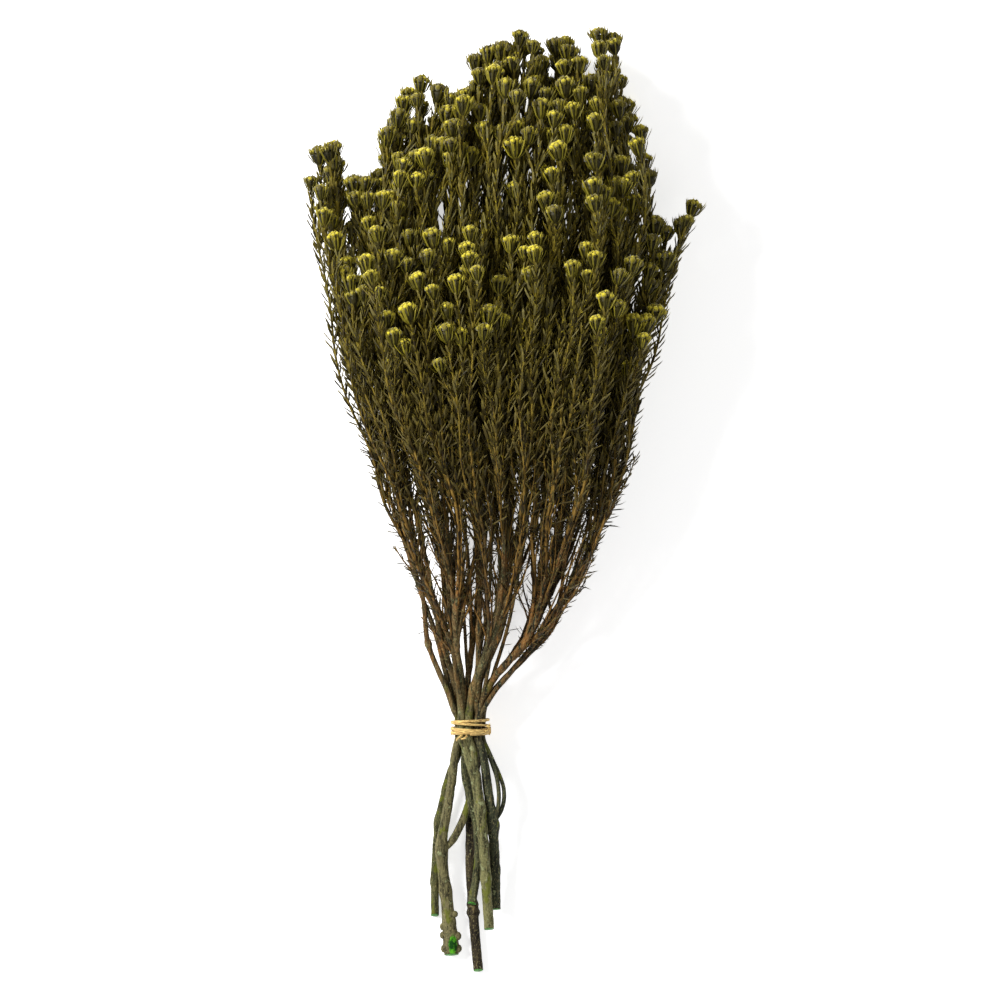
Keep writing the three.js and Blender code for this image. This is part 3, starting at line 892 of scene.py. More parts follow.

# %% [markdown]
# ### Leaves, bracts and florets
#
# Low on the bunch the leaves are old, brown and grey-green. Towards the crown they turn dark
# olive with lighter tips. The bracts round a head go from dark green to yellow-green, and
# the florets are a matt woolly yellow-green, darker at their feet as painted shade in the
# gaps between them. The tone number makes each leaf differ.

# %% Leaf and twig
def leaf_material():
    paint = Paint("leaf")
    tone, tip, mottle = paint.number("tone"), paint.number("tip"), paint.noise(180, 3)
    height = paint.step(paint.along("Y") + 0.08 * mottle, TIE_Y + 0.14, TIE_Y + 0.36)
    low = paint.blend(paint.step(tone, 0.2, 0.9), rgb(40, 33, 16), rgb(90, 77, 40))
    olive = paint.blend(paint.step(tone, 0.1, 1), rgb(52, 46, 10), rgb(120, 104, 28))
    high = paint.blend(0.7 * paint.step(tone, 0.62, 0.8), olive, rgb(92, 90, 58))
    body = paint.blend(height, low, high)
    tipped = paint.blend(paint.step(tip, 0.6, 1) * (0.2 + 0.4 * height), body, rgb(146, 132, 44))
    foot = paint.step(tip, 0.2, 0.04) * (0.25 + 0.75 * height)
    spotted = paint.blend(foot, tipped, rgb(196, 178, 44))
    veins = paint.noise(1500, 2, (1, 0.2, 1))
    return paint.finish(Base_Color=spotted, Roughness=0.62 - 0.15 * mottle,
                        Specular_IOR_Level=LITTLE_SHINE, Normal=paint.bump(veins, 0.0002))


def twig_material():
    paint = Paint("twig")
    tone, streaks = paint.number("tone"), paint.noise(500, 3, (1, 0.15, 1))
    height = paint.step(paint.along("Y"), TIE_Y + 0.06, TIE_Y + 0.3)
    low = paint.blend(tone, rgb(76, 54, 26), rgb(136, 100, 46))
    base = paint.blend(height, low, rgb(124, 110, 30))
    colour = paint.blend(paint.step(streaks, 0.35, 0.6), rgb(38, 28, 12), base)
    return paint.finish(Base_Color=colour, Roughness=0.75 - 0.2 * streaks,
                        Specular_IOR_Level=LITTLE_SHINE, Normal=paint.bump(streaks, 0.0003))


LEAF_PAINT, TWIG_PAINT = leaf_material(), twig_material()
print("made", LEAF_PAINT.name, "and", TWIG_PAINT.name)

# %% Bract and floret
def bract_material():
    paint = Paint("bract")
    tone, tip = paint.number("tone"), paint.number("tip")
    mottle = paint.noise(500, 2)
    body = paint.blend(tone, rgb(34, 30, 8), rgb(136, 126, 34))
    tipped = paint.step(tip + 0.2 * mottle, 0.72, 1.2) * (0.3 + 0.7 * tone)
    colour = paint.blend(tipped, body, rgb(176, 160, 40))
    return paint.finish(Base_Color=colour, Roughness=0.6 - 0.1 * mottle,
                        Specular_IOR_Level=LITTLE_SHINE, Normal=paint.bump(mottle, 0.0002))


def floret_material():
    paint = Paint("floret")
    tone, tip = paint.number("tone"), paint.number("tip")
    wool = paint.noise(2200, 3)
    body = paint.blend(tone, rgb(98, 86, 14), rgb(238, 220, 44))
    # Darker at each floret's foot: painted shade in the gaps between florets.
    colour = paint.blend(paint.step(tip + 0.4 * wool, 0.3, 1.0), rgb(84, 76, 16), body)
    return paint.finish(Base_Color=colour, Roughness=0.9 - 0.1 * wool, Sheen_Weight=0.3,
                        Sheen_Roughness=0.5, Normal=paint.bump(wool, 0.0005))


BRACT_PAINT, FLORET_PAINT = bract_material(), floret_material()
print("materials", len(bpy.data.materials))

# %% [markdown]
# ## The stems
#
# A stem is bark from its cut end, through the tie, to the first leaves of each side branch.
# Real wood is never a clean tube: it swells at each fork and bud, and leans in and out. So
# the girth of a rod swells at its knots, and a relief moves its vertices for ribs and lumps.
# The knobbed stem also has galls near its cut, each laid on as a lump of its own.

# %% Knots and galls
# Swellings on the lower wood: height, rise and half length.
KNOTS = {
    "stem_knobbed": [(-139, 0.7, 3), (-132, 0.6, 4), (-124, 0.5, 3), (-104, 0.6, 4), (-78, 0.9, 6)],
    "stem_short_left": [(-60, 1.0, 5), (-98, 0.5, 3)],
    "stem_slim": [(-70, 0.5, 4)],
    "stem_longest": [(-118, 1.4, 2.2), (-113, 0.8, 2), (-42, 0.6, 5)],
    "stem_forked_pale": [(-52, 0.8, 4), (-96, 0.5, 3), (-30, 0.5, 5)],
    "stem_dark_right": [(-62, 1.4, 5), (-54, 1.1, 3), (-90, 0.5, 3)],
}
# Galls near the cut end of the knobbed stem: middle and diameter.
GALLS = [((-16.8, -127, 6.2), 5.6), ((-10.0, -119, 7.5), 4.6), ((-8.6, -133, 6.2), 6.2),
         ((-15.8, -141, 4.6), 6.2), ((-8.2, -141, 4.6), 6.0), ((-17, -132.5, 5.6), 5.2)]
print("knots", sum(len(knots) for knots in KNOTS.values()), "galls", len(GALLS))

# %% Relief and girth
# Ribs, broad lumps and fine roughness: strength, how many round, length and how seeds differ.
RELIEF = [(0.6, 2.4, 14, 1), (1, 1, 6, 3), (0.5, 3, 2, 1)]


def wood_relief(strength, seed):
    def relief(points, turn, ring):
        out = np.empty(len(points))
        for i, (p, a) in enumerate(zip(points, turn)):
            x, y = np.cos(a), np.sin(a)
            out[i] = strength * sum(
                share * noise.noise(Vector((often * x, often * y, p[1] / long + seed * apart)))
                for share, often, long, apart in RELIEF)
        return out
    return relief


def girth(points, steps, nodes=()):
    """The radius at each point. steps holds (height, radius), nodes (height, rise, half)."""
    radius = np.interp(points[:, 1], *zip(*steps))
    for y, rise, half in nodes:
        radius += rise * np.exp(-(((points[:, 1] - y) / half) ** 2))
    return radius


print("relief layers", len(RELIEF))

# %% [markdown]
# The trunk of each stem is one rod from its cut end to its last fork, so no seam shows. The
# other strands and the side branches begin thin, deep inside the wood, and swell out of it.
# The cut is slanted, as secateurs leave it, and its face is a second material.

# %% Bark rods
WOOD_STEP, BRANCH_STEP = 1.3, 2
TIE_STRAIGHT = 7
THIN_AT_END, BRANCH_END = 0.9, 1.1
ROOT, ROOT_RADIUS = 5, 0.5  # a branch begins this far below its fork, and this thin
BRANCH_KNOTS, KNOT_RISE, KNOT_HALF = (0.35, 0.62, 0.9), 0.35, 1.6
TRUNK_SIDES, STRAND_SIDES, BRANCH_SIDES = 16, 12, 8


def wood_line(strand, route):
    through = [(strand["at"][0], -TIE_STRAIGHT, strand["at"][1])]
    above = way(np.linspace(0, strand["bark_end"], 8), strand)
    return spaced(smooth_route([*route, *through, *above]), WOOD_STEP)


def upper_steps(strand):
    thin, end = strand["radius"][1], strand["bark_end"]
    return [(-12, thin), (25, thin * 0.92), (end - 25, thin * 0.6), (end, THIN_AT_END)]


def fork_nodes(strand):
    return [(spray["fork"] + 2, 0.45, 3.5) for spray in strand["sprays"]]


def galls(pile):
    for middle, wide in GALLS:
        lump = np.array(middle) + wide * (GALL.points - (0, 0, 0.5))  # it stands on its pole
        pile.add(GALL, lump[None], 0, 0.8, cells=2)


def trunk(pile, name, stem, seed):
    strand = stem["strands"][0]
    points = wood_line(strand, [*stem["base"], *strand["route"][1:]])
    thick, thin = stem["radius"]
    low = [(stem["base"][0][1], thick), (stem["base"][-1][1], thin)]
    nodes = KNOTS[name] + fork_nodes(strand)
    radius = girth(points, low + upper_steps(strand), nodes)
    rod(pile, points, radius, TRUNK_SIDES, wood_relief(0.28, seed), CUT_END, vary(seed, 1),
        slant=1.2)


def side_strand(pile, strand, seed):
    points = wood_line(strand, strand["route"])
    start, thick = strand["route"][0][1], strand["radius"][0]
    steps = [(start, thick * 0.5), (start + 6, thick)] + upper_steps(strand)
    radius = girth(points, steps, fork_nodes(strand))
    rod(pile, points, radius, STRAND_SIDES, wood_relief(0.09 * thick, seed), tone=vary(seed, 2))


def side_branches(pile, strand, seed):
    for i, spray in enumerate(strand["sprays"]):
        fork, bare = spray["fork"], spray["bare"]
        line = way(np.linspace(fork - ROOT, bare + 1, 14), strand, spray)
        points = spaced(line, BRANCH_STEP)
        foot = min(1.45, strand["radius"][1] * 0.8)
        steps = [(fork - ROOT, ROOT_RADIUS), (fork + 3, foot), (bare, BRANCH_END)]
        knots = [(mix(fork, bare, share), KNOT_RISE, KNOT_HALF) for share in BRANCH_KNOTS]
        radius = girth(points, steps, knots)
        rod(pile, points, radius, BRANCH_SIDES, wood_relief(0.14, seed + i),
            tone=vary(seed + i, 3))


first = strands[0]
print("the first strand's bark has", len(wood_line(first, first["route"])), "rings")

# %% [markdown]
# Some thin twigs bow away from the bundle just above the tie and rejoin the fan higher up.
# They are in the way of nothing, so the plain CAD leaves them out. Each is a route of a few
# points, with a knot where it forks.

# %% Bowed twigs
def bowed(knot, radius, *route):
    return dict(route=route, radius=radius, knot=knot)


BOWED = {
    "stem_dark_right": [
        bowed(66, (1.5, 0.9), (6, 8, 27), (17, 25, 30), (42, 55, 35), (51, 66, 37), (57, 84, 41),
              (60, 108, 46), (72, 150, 52)),
        bowed(66, (1.2, 0.8), (7, 10, 26), (20, 29, 28), (36, 45, 30), (51, 66, 36),
              (49, 86, 40), (52, 112, 44), (58, 150, 50)),
        bowed(76, (1.4, 0.9), (6, 14, 26), (18, 34, 30), (32, 52, 34), (41, 76, 38),
              (50, 110, 44), (62, 150, 50)),
        bowed(81, (1.3, 0.8), (5, 12, 25), (22, 30, 24), (46, 60, 26), (60, 81, 30),
              (76, 116, 36), (88, 136, 40), (97, 165, 45), (105, 205, 50)),
    ],
    "stem_knobbed": [
        bowed(53, (1.9, 0.9), (-8, 4, 23), (-14, 22, 26), (-26.5, 53, 29), (-29.5, 80, 32),
              (-34.7, 98, 34), (-43, 122, 38), (-52, 150, 42), (-64, 190, 48)),
        bowed(97, (1.7, 0.9), (-8, 6, 21), (-13, 24, 23), (-22, 60, 28), (-34.7, 97, 34),
              (-37, 130, 40), (-44, 175, 48)),
    ],
    "stem_slim": [
        bowed(62, (2.1, 1.1), (3, 8, 24), (5, 30, 31), (5.5, 60, 38), (7, 95, 46), (12, 140, 52)),
        bowed(47, (1.3, 0.8), (5, 8, 24), (11, 35, 33), (15, 65, 40), (20, 100, 48),
              (27, 150, 54)),
        bowed(90, (1.3, 0.8), (6, 8, 24), (15, 35, 30), (24, 65, 35), (31, 100, 41),
              (39, 150, 47)),
        bowed(58, (1.7, 0.9), (-4, 8, 26), (-9, 35, 35), (-12, 65, 41), (-15, 100, 47),
              (-23, 150, 53)),
        bowed(100, (1.2, 0.8), (1, 8, 22), (-2, 40, 30), (-4, 75, 36), (-6, 120, 42),
              (-8, 150, 46)),
        bowed(80, (1.3, 0.8), (-2, 10, 24), (-6, 40, 30), (-16, 80, 36), (-18, 120, 42),
              (-26, 170, 50)),
        bowed(84, (1.3, 0.8), (0, 10, 24), (5, 42, 33), (12, 84, 42), (14, 120, 50),
              (24, 170, 58)),
    ],
}
print("bowed twigs", sum(len(twigs) for twigs in BOWED.values()))

# %% Make the stems
def bowed_twigs(pile, name, seed):
    for i, twig in enumerate(BOWED.get(name, [])):
        points = spaced(smooth_route(twig["route"]), BRANCH_STEP)
        start, end = points[0, 1], points[-1, 1]
        thick, thin = twig["radius"]
        steps = [(start, ROOT_RADIUS), (start + 6, thick), (end, thin)]
        knots = [(twig["knot"], 0.9, 2.2), (mix(start, end, 0.75), 0.4, 1.5)]
        rod(pile, points, girth(points, steps, knots), BRANCH_SIDES,
            wood_relief(0.16, seed * 5 + i), tone=vary(i, 4))


for seed, (name, stem) in enumerate(STEMS.items()):
    pile = Pile()
    trunk(pile, name, stem, seed)
    for i, strand in enumerate(stem["strands"]):
        if i:
            side_strand(pile, strand, seed * 7 + i)
        side_branches(pile, strand, seed * 7 + i)
    bowed_twigs(pile, name, seed)
    if name == "stem_knobbed":
        galls(pile)
    wood = pile.to_object(name + "_bark", [BARKS[name], CUT])
    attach(wood, "root")
    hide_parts(name)
    print(wood.name, triangles(wood), "triangles")

# %% [markdown]
# ## Leafy sprays
#
# Leaves sit in a spiral round each twig, a golden turn apart, as on most shrubs. Low on the
# bunch they are dry, curled and half fallen. Towards the crown they lie in close ranks, so a
# spire looks like an ear of wheat. One function clothes a route in leaves, and all its sizes
# depend on how high above the tie the leaf is.

# %% The size of a leaf, and copies of a blade
# Each pair is for a leaf low on the bunch and for one in the crown.
LEAF_SPACING, LEAF_LENGTH, LEAF_WIDTH = (2.3, 1.45), (8.4, 9.6), (1.7, 2.3)
LEAF_LEAN, CROWN_LEANS_LESS = (50, 34), 13


def rise(y, start, over):
    return np.clip((y - start) / over, 0, 1)


def leaf_rule(y):
    """For a height above the tie: spacing, length, width and lean from the twig, in degrees."""
    high = rise(y, 90, 190)
    lean = mix(*LEAF_LEAN, high) - CROWN_LEANS_LESS * rise(y, 290, 90)
    return mix(*LEAF_SPACING, high), mix(*LEAF_LENGTH, high), mix(*LEAF_WIDTH, high), lean


def fanned(turn, side, top):
    """The direction at each turn, in the plane of side and top."""
    return np.cos(turn)[..., None] * side + np.sin(turn)[..., None] * top


def blades(pile, mould, foot, ahead, out, length, width, lean, curl, slot, tone):
    """Copies of a blade: foot, ahead and out have one row for each, lean is in radians."""
    cos, sin = np.cos(lean)[:, None], np.sin(lean)[:, None]
    along = cos * ahead + sin * out
    inner = sin * ahead - cos * out
    across = np.cross(inner, along)
    x, y, z = mould.points.T
    shape = (z[None, :, None] * length[:, None, None] * along[:, None]
             + (x[None, :] * width[:, None])[..., None] * across[:, None]
             + (y[None, :] * width[:, None])[..., None] * inner[:, None]
             + (z**2)[None, :, None] * (curl * length)[:, None, None] * inner[:, None])
    pile.add(mould, foot[:, None] + shape, slot, tone, smooth=False)


print("leaf length low and high", [round(float(leaf_rule(y)[1]), 1) for y in (60, 400)])

# %% Clothe a route in leaves
rng = np.random.default_rng(11)
GOLDEN_TURN = 2.39996
CLOTHE_STEP = 0.5
CROWDED_END, CROWDED = 7, 0.6  # the last leaves of a twig stand closer
SHORT_END, SHORT = 14, 0.8  # and are shorter


def clothe(pile, route, start_turn, from_share=0.0, fullness=1.0, scale=1.0):
    """Leaves along a route. fullness thins them out. scale sizes them and their spacing."""
    points = spaced(route, CLOTHE_STEP)
    ahead, side, top = frames(points)
    at, places = from_share * len(points) * CLOTHE_STEP, []
    while at < (len(points) - 1) * CLOTHE_STEP - 1:
        places.append(int(at / CLOTHE_STEP))
        crowd = CROWDED if (len(points) - places[-1]) * CLOTHE_STEP < CROWDED_END else 1
        at += scale * crowd * leaf_rule(points[places[-1], 1])[0] * rng.uniform(0.75, 1.25)
    i = np.array(places, int)
    _, length, width, lean = leaf_rule(points[i, 1])
    dry = 1 - rise(points[i, 1], 120, 100)
    kept = rng.random(len(i)) < fullness * np.clip(1.15 - 0.65 * dry, 0, 1)
    turn = start_turn + GOLDEN_TURN * np.arange(len(i)) + rng.normal(0, 0.25, len(i))
    out = fanned(turn, side[i], top[i])
    near_end = np.clip((len(points) - i) * CLOTHE_STEP / SHORT_END, SHORT, 1)
    length = scale * near_end * length * rng.uniform(0.75, 1.15, len(i))
    lean = np.radians(lean + rng.normal(0, 6 + 12 * dry, len(i)))
    curl = 0.14 + 0.12 * rng.random(len(i)) + dry * rng.normal(0, 0.3, len(i))
    foot = points[i] + out * 0.4
    pick = np.flatnonzero(kept)
    if not len(pick):
        return
    blades(pile, LEAF, foot[pick], ahead[i][pick], out[pick], length[pick],
           scale * width[pick], lean[pick], curl[pick], 1, rng.random(len(pick)))


print("leaves start a golden turn apart,", GOLDEN_TURN, "radians")

# %% [markdown]
# A head is a cup, shaped like a spinning top, on the tip of its twig. The cup is near black,
# darker than its own olive-brown: painted shade, so the gaps between the bracts read dark.
# Narrow bracts press against the cup and curl in over its rim, and woolly florets fill its
# mouth in the spiral of a sunflower. Each head's size and tone differ a little.

# %% The bracts of a flower head
BRACTS = 24
# Each pair is for a late bract, high on the cup, and for an early one at its foot.
BRACT_LENGTH, BRACT_LEAN, BRACT_FOOT = (7.0, 9.4), (48, 52), (2.6, 0.0)


def head_bracts(pile, foot, ahead, side, top, size, tone):
    nth = np.arange(BRACTS)
    late = nth % 5 >= 3
    turn = nth * GOLDEN_TURN + rng.normal(0, 0.1, BRACTS)
    out = fanned(turn, side, top)
    length = size * np.where(late, *BRACT_LENGTH) * rng.uniform(0.8, 1.1, BRACTS)
    lean = np.radians(np.where(late, *BRACT_LEAN) + rng.normal(0, 5, BRACTS))
    width = size * rng.uniform(0.9, 1.45, BRACTS)
    base = foot + ahead * (size * np.where(late, *BRACT_FOOT))[:, None] + out * 0.8 * size
    along = np.broadcast_to(ahead, out.shape)
    shades = mix(0.5, 1.1, tone) * rng.random(BRACTS) ** 0.7
    curl = rng.uniform(0.36, 0.6, BRACTS)
    blades(pile, BRACT, base, along, out, length, width, lean, curl, 0, shades)


print("bracts in a head", BRACTS)

# %% The florets, and the tufts between them
TUFTS, FLORETS = 8, 10
DOME_REACH, DOME_RISE = 3.7, 2.2
TUFT_ROOT, TUFT_LENGTH, TUFT_WIDTH, TUFT_LEAN, TUFT_CURL = 1.5, (5.6, 4.0), 1.3, 24, 0.05


def head_florets(pile, mouth, ahead, side, top, size, tone):
    x, y, z = FLORET.points.T
    for i in range(FLORETS):
        spread = np.sqrt((i + 0.3) / FLORETS)
        out = fanned(i * GOLDEN_TURN, side, top)
        sit = mouth + size * (out * DOME_REACH * spread + ahead * DOME_RISE * (1 - spread**2))
        grow = size * rng.uniform(2.5, 3.5)
        knob = sit + grow * (x[:, None] * side + y[:, None] * top + (z[:, None] - 0.5) * ahead)
        pile.add(FLORET, knob[None], 1, np.clip(tone + rng.normal(0, 0.3), 0, 1))


def head_tufts(pile, mouth, ahead, side, top, size, tone):
    """Short upright bracts that stand between the florets."""
    turn = (np.arange(TUFTS) + 0.5) * GOLDEN_TURN
    out = fanned(turn, side, top)
    spread = np.sqrt((np.arange(TUFTS) + 0.6) / TUFTS)
    base = mouth + size * (out * DOME_REACH * spread[:, None] - ahead * TUFT_ROOT)
    along = np.broadcast_to(ahead, out.shape)
    length = size * mix(*TUFT_LENGTH, spread) * rng.uniform(0.85, 1.1, TUFTS)
    lean = np.radians(TUFT_LEAN * spread)
    shades = np.clip(tone + rng.normal(0.1, 0.25, TUFTS), 0, 1)
    blades(pile, BRACT, base, along, out, length, np.full(TUFTS, TUFT_WIDTH * size), lean,
           np.full(TUFTS, TUFT_CURL), 0, shades)


print("florets", FLORETS, "tufts", TUFTS)

# %% A flower head
HEAD_LENGTH = 11.5
CUP_WIDTH, CUP_HEIGHT = 7.2, 6.4
MOUTH_RISE = (-0.6, 1.6)  # from a young closed head to an open one


def head(pile, foot, ahead, side, top, size, tone):
    x, y, z = CUP.points.T
    wide, tall = size * CUP_WIDTH, size * (CUP_HEIGHT + mix(*MOUTH_RISE, tone))
    body = foot + wide * (x[:, None] * side + y[:, None] * top) + tall * z[:, None] * ahead
    # A low tone paints the cup near black: its own dark colour and painted shade between bracts.
    pile.add(CUP, body[None], 0, tone * 0.15, tip=z * 0.5, cells=2)
    head_bracts(pile, foot, ahead, side, top, size, tone)
    mouth = foot + ahead * tall
    head_tufts(pile, mouth, ahead, side, top, size, tone)
    head_florets(pile, mouth, ahead, side, top, size, tone)


print("a head stands", HEAD_LENGTH, "mm above its twig's end")

# %% [markdown]
# A spray is a leader with side spires, and each spire throws off one or two short twiglets
# near its top, with a smaller head on each. That fills the crown with heads at many heights.
# Low down, dead twigs with a few curled leaves fill the space between the branches. Above
# them, leafy shoots with no head stand in the shade of the spires.

# %% The routes of spires and twiglets
SWING, SWING_HEIGHTS = (2.2, 1.6), (17, 21)
SIDES_START = 0.6  # twigs this far across the fan turn inwards
TWIGLET_DROP, TWIGLET_LENGTH, TWIGLET_REACH = (1, 27), (18, 38), (6, 10.5)


def wander(points, start, nth):
    """A slow bend of the twig's own, so that neighbours aren't parallel."""
    settled = ease((points[:, 1] - start) / 50)
    phase = 2 * np.pi * vary(nth, 9)
    points[:, 0] += SWING[0] * settled * np.sin(points[:, 1] / SWING_HEIGHTS[0] + phase)
    points[:, 2] += SWING[1] * settled * np.cos(points[:, 1] / SWING_HEIGHTS[1] + phase)
    return points


def spire_route(strand, spray, spire, nth, y):
    start = spray["bare"] if spire is spray["spires"][0] else spire["split"]
    return wander(way(y, strand, spray, spire), start, nth)


def inward(right, place):
    """How far to the right a twig goes, turned towards the middle near the fan's sides."""
    across = place["across"]
    return -abs(right) * np.sign(across) if abs(across) > SIDES_START else right


def twiglet(strand, spray, spire, nth, serial):
    """A short side twig: it leaves the spire, then runs beside it to its own head."""
    end = spire["tip"] - mix(*TWIGLET_DROP, vary(serial, 6) ** 1.7) - HEAD_LENGTH
    start = max(end - mix(*TWIGLET_LENGTH, vary(serial, 7)), spire["split"] + 4)
    turn = 2 * np.pi * vary(serial, 8)
    y = np.linspace(start, end, 14)
    share = ease((y - start) / (end - start) / 0.9)[:, None]
    aside = np.array([inward(np.cos(turn), spire), 0, np.sin(turn)])
    reach = mix(*TWIGLET_REACH, vary(serial, 10))
    return spire_route(strand, spray, spire, nth, y) + share * aside * reach


print("twiglets are", TWIGLET_LENGTH, "mm long")

# %% The routes of dead twigs and leafy shoots
DEAD_START, DEAD_END, DEAD_REACH = (0.1, 0.7), (5, 60), (4, 11)
SHOOT_START, SHOOT_LENGTH, SHOOT_BELOW_TIP = (0.05, 0.5), (60, 125), (18, 74)
SHOOT_REACH, SHORTEST_SHOOT = (5, 13), 12


def dead_twig(strand, spray, serial):
    """A thin twig beside a side branch, from its bare wood up into the leaves."""
    start = mix(spray["fork"], spray["bare"], mix(*DEAD_START, vary(serial, 11)))
    end = mix(*(spray["bare"] + past for past in DEAD_END), vary(serial, 12))
    y = np.linspace(start, end, 16)
    share = ease((y - start) / (end - start))[:, None]
    turn = 2 * np.pi * vary(serial, 13)
    aside = np.array([np.cos(turn), 0, np.sin(turn)]) * mix(*DEAD_REACH, vary(serial, 14))
    return wander(way(y, strand, spray) + share * aside, start, serial)


def leafy_shoot(strand, spray, serial):
    """A shoot with no head, in the shade of the spires, that fills the gaps below them."""
    tip = spray["spires"][0]["tip"]
    start = mix(spray["bare"], tip, mix(*SHOOT_START, vary(serial, 17)))
    end = min(start + mix(*SHOOT_LENGTH, vary(serial, 18)),
              tip - mix(*SHOOT_BELOW_TIP, vary(serial, 21)))
    y = np.linspace(start, max(end, start + SHORTEST_SHOOT), 20)
    share = ease((y - start) / 45)[:, None]
    turn = np.pi * (1 + vary(serial, 19))
    aside = np.array([inward(np.cos(turn), spray), 0, 0.7 * np.sin(turn)])
    aside *= mix(*SHOOT_REACH, vary(serial, 20))
    return wander(way(y, strand, spray) + share * aside, start, serial)


print("shoots are", SHOOT_LENGTH, "mm long")

# %% A twig with its leaves, and a head on top
HEAD_SIZE, TWIGLET_HEAD_SIZE = (1.1, 1.45), (0.9, 1.3)
HEAD_TONE, TWIGLET_HEAD_TONE = (0.3, 1), (0.2, 1)
CROWN_BRIGHTNESS, BRIGHT_FROM_DROP = 0.4, 45  # heads well below the crown are brightest


def leafy_rod(green, route, turn, step, radii, tone, sides=4, **leaves):
    """A twig's wood, with a ring every step, and its leaves."""
    wood = spaced(route, step)
    rod(green, wood, np.linspace(*radii, len(wood)), sides, tone=tone)
    clothe(green, route, turn, **leaves)


def top_off(heads, route, size, tone):
    points = spaced(route, BRANCH_STEP)
    ahead, side, top = (v[-1] for v in frames(points))
    head(heads, points[-1], ahead, side, top, size, tone)


def add_spire(green, heads, strand, spray, spire, nth):
    leader = spire is spray["spires"][0]
    start = spray["bare"] - 1 if leader else spire["split"] - 2
    y = np.linspace(start, spire["tip"] - HEAD_LENGTH, 40)
    route = spire_route(strand, spray, spire, nth, y)
    leafy_rod(green, route, nth, 7, (1.15 if leader else 0.9, 0.6), vary(nth, 1), sides=5)
    bright = mix(CROWN_BRIGHTNESS, 1, ease(spire["drop"] / BRIGHT_FROM_DROP))
    top_off(heads, route, mix(*HEAD_SIZE, vary(nth, 2)), bright * mix(*HEAD_TONE, vary(nth, 3)))
    for j in range(2 if vary(nth, 4) > 0.45 else 1):
        side = twiglet(strand, spray, spire, nth, nth * 2 + j)
        leafy_rod(green, side, nth + j, 6, (0.6, 0.5), vary(nth, 5), from_share=0.1)
        top_off(heads, side, mix(*TWIGLET_HEAD_SIZE, vary(nth + j, 7)),
                bright * mix(*TWIGLET_HEAD_TONE, vary(nth, 8 + j)))


print("heads are", HEAD_SIZE, "or", TWIGLET_HEAD_SIZE, "times the usual size")

# %% A whole spray
SHOOTS, DEAD_TWIGS = 8, 3
SERIALS_A_SPRAY = 5
BARE_SHARE = 0.45  # of the way from the fork to the leaves, where odd leaves begin


def build_spray(strand, spray, number):
    green, heads = Pile(), Pile()
    for i, spire in enumerate(spray["spires"]):
        add_spire(green, heads, strand, spray, spire, number * SERIALS_A_SPRAY + i)
    start = mix(spray["fork"], spray["bare"], BARE_SHARE)
    bare = way(np.linspace(start, spray["bare"], 30), strand, spray)
    clothe(green, bare, number, fullness=0.5, scale=0.75)
    for i in range(DEAD_TWIGS):
        twig = dead_twig(strand, spray, number * DEAD_TWIGS + i)
        leafy_rod(green, twig, i, 5, (0.75, 0.35), vary(i, 15), from_share=0.15, scale=0.8)
    for i in range(SHOOTS):
        shoot = leafy_shoot(strand, spray, number * SHOOTS + i)
        leafy_rod(green, shoot, i, 9, (0.6, 0.4), vary(i, 16), scale=1.3)
    return green, heads


print("each spray has", SHOOTS, "shoots and", DEAD_TWIGS, "dead twigs")

# %% Leaves on the bowed twigs
for name, twigs in BOWED.items():
    side_leaves = Pile()
    for i, twig in enumerate(twigs):
        clothe(side_leaves, smooth_route(twig["route"]), i, 0.3, fullness=0.7, scale=0.85)
    piece = side_leaves.to_object(name + "_side_leaves", [TWIG_PAINT, LEAF_PAINT])
    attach(piece, "root")
    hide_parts(name)
    print(piece.name, triangles(piece), "triangles")

# %% Build the sprays
total, count = 0, 0
for strand in strands:
    for spray in strand["sprays"]:
        green, heads = build_spray(strand, spray, count)
        name = spray["name"]
        for pile, ending, paints in ((green, "_leaves", [TWIG_PAINT, LEAF_PAINT]),
                                     (heads, "_flower_heads", [BRACT_PAINT, FLORET_PAINT])):
            piece = pile.to_object(name + ending, paints)
            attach(piece, "root")
            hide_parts(name)
            total += triangles(piece)
        count += 1
print("sprays", count, "triangles", total)

# %% [markdown]
# ## The raffia tie
#
# Raffia is a flat dry leaf fibre. It goes round the bundle four and a half times. The upper
# turns are thin and twisted, the lower ones broad and flat, and they cross as they wind. The
# free ends stick out at the bottom, where the knot was pulled tight. Each turn is a rod with
# lengthwise ribs, so that it reads as fibre and not as wire.

# %% Raffia's colours, and a flat ribbon
FLATNESS, RIBBON_SIDES = 0.55, 14


def raffia_material():
    paint = Paint("raffia")
    fibre = paint.noise(1100, 4, (0.25, 2.6, 0.25), 0.6)
    stain = paint.noise(120, 3)
    base = paint.blend(paint.step(fibre, 0.35, 0.62), rgb(138, 94, 40), rgb(250, 216, 132))
    colour = paint.blend(paint.step(stain, 0.5, 0.75) * 0.4, base, rgb(176, 128, 56))
    return paint.finish(Base_Color=colour, Roughness=0.5 + 0.3 * fibre,
                        Normal=paint.bump(fibre, 0.0005))


def ribbon(pile, points, half_width):
    """A flat fibre round the bundle: broad along Y and thin outwards, with ribs."""
    mould = rod_mould(len(points), RIBBON_SIDES)
    ring = np.rint(mould.points[:, 2]).astype(int)
    ahead, outward, along = frames(points, up=(0, 1.0, 0))
    turn = np.arctan2(mould.points[:, 1], mould.points[:, 0])
    reach = 1 + 0.12 * np.cos(5 * turn + ring * 0.05) + 0.05 * np.cos(9 * turn)
    wide = np.asarray(half_width, float)[ring] * reach
    vertices = points[ring] + outward[ring] * (np.cos(turn) * wide * FLATNESS)[:, None]
    vertices += along[ring] * (np.sin(turn) * wide)[:, None]
    cells = max(2, len(points) // RINGS_PER_CELL)
    pile.add(mould, vertices[None], 0, 0.5, ring / (len(points) - 1), cells)


RAFFIA = raffia_material()
print("made", RAFFIA.name)

# %% Wind the tie
TIE_RING, TIE_TURNS, POINTS_A_TURN = 11.7, 4.5, 44
THIN_TURN, BROAD_TURN, BROADENS_AT = 0.7, 1.3, 1.8
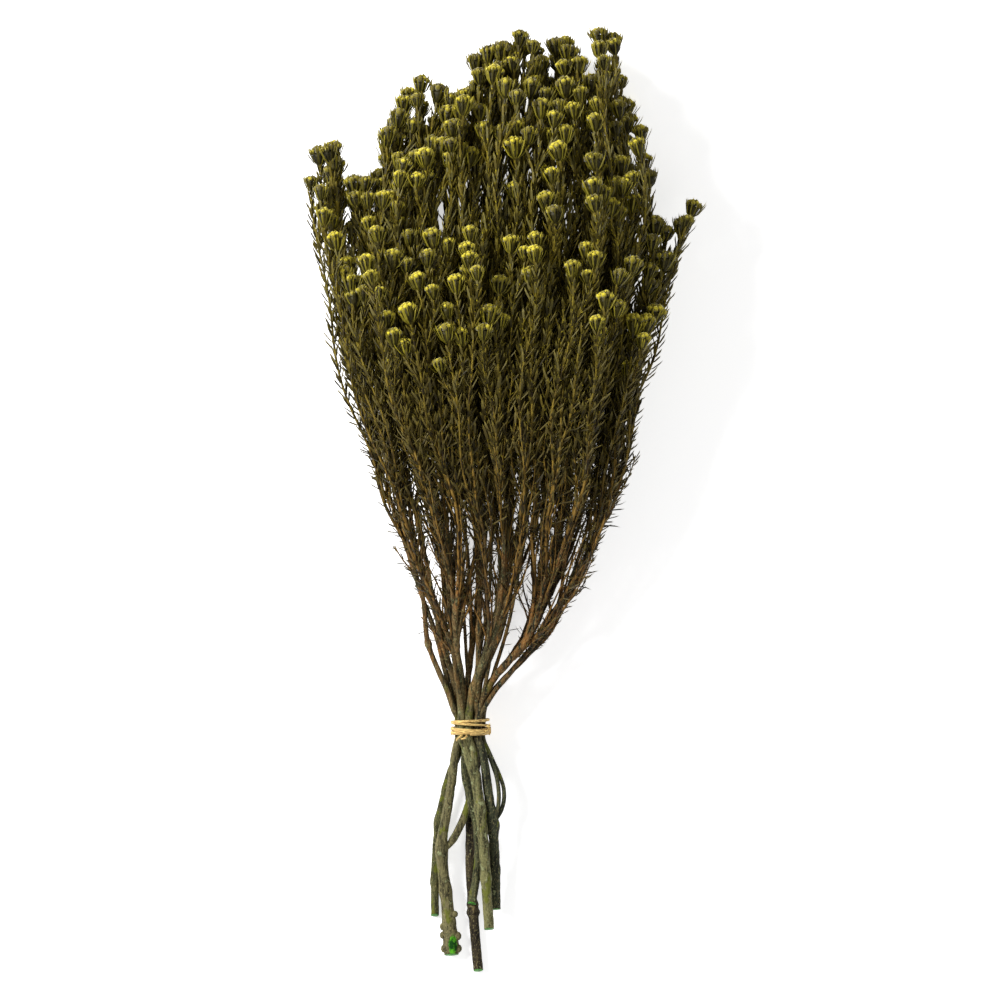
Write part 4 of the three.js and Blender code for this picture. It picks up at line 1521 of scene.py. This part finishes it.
# Where the fibre passes the two sides of the bundle, turn by turn.
SIDE_TURNS = [0, 0.25, 0.75, 1.25, 1.75, 2.25, 2.75, 3.25, 3.75, 4.25, 4.5]
SIDE_HEIGHTS = [5, 5, 3.6, 1.0, 3.4, -2.8, -0.8, -1.4, -3.6, -3.0, -3.4]
turns = np.linspace(0, TIE_TURNS, int(POINTS_A_TURN * TIE_TURNS))
angle = 2 * np.pi * turns
over = 0.5 * np.sin(angle * 0.5) ** 2
wind = np.stack([
    (TIE_RING + over) * np.sin(angle),
    np.interp(turns, SIDE_TURNS, SIDE_HEIGHTS),
    TIE_HEIGHT - (TIE_RING + over) * np.cos(angle),
], -1)
broad = mix(THIN_TURN, BROAD_TURN, ease((turns - BROADENS_AT) / 0.5))
pile = Pile()
ribbon(pile, wind, broad * (1 + 0.16 * np.sin(angle * 0.7)))
print("turns", TIE_TURNS, "points", len(wind))

# %% Loose ends, and the finished tie
END_STEP, END_WIDTHS = 0.4, (0.85, 0.45)
LOOSE_ENDS = [
    [(9.5, -2.5, 29), (11.6, -1.2, 27.5), (12.6, 0.8, 26), (12.2, 2.6, 26.5)],
    [(10.5, 1.5, 28), (12.4, 0.2, 27.4), (12.9, -2.2, 26.4), (12.0, -4.6, 26)],
    [(-5, -4.5, 31.5), (-6.4, -5.6, 32.4), (-8.0, -6.8, 32.2), (-8.7, -8.2, 31.2)],
    [(-2, -4.8, 31.6), (-3.2, -6.2, 32.6), (-4.6, -6.9, 32.4), (-6.0, -6.6, 31.8)],
]
for end in LOOSE_ENDS:
    points = spaced(smooth_route(end), END_STEP)
    ribbon(pile, points, np.linspace(*END_WIDTHS, len(points)))
tie = pile.to_object("raffia_tie_winding", [RAFFIA])
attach(tie, "root")
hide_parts("raffia_tie")
print(tie.name, triangles(tie), "triangles")

# %% [markdown]
# ## Measure the size
#
# The dressed bunch must stay in the CAD box, but for a few millimetres of leaf tips. Both
# boxes are printed.

# %% Measure and finish
low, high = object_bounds()
print("CAD", [round(x, 3) for x in (*cad_low, *cad_high)])
print("visual", [round(x, 3) for x in (*low, *high)])
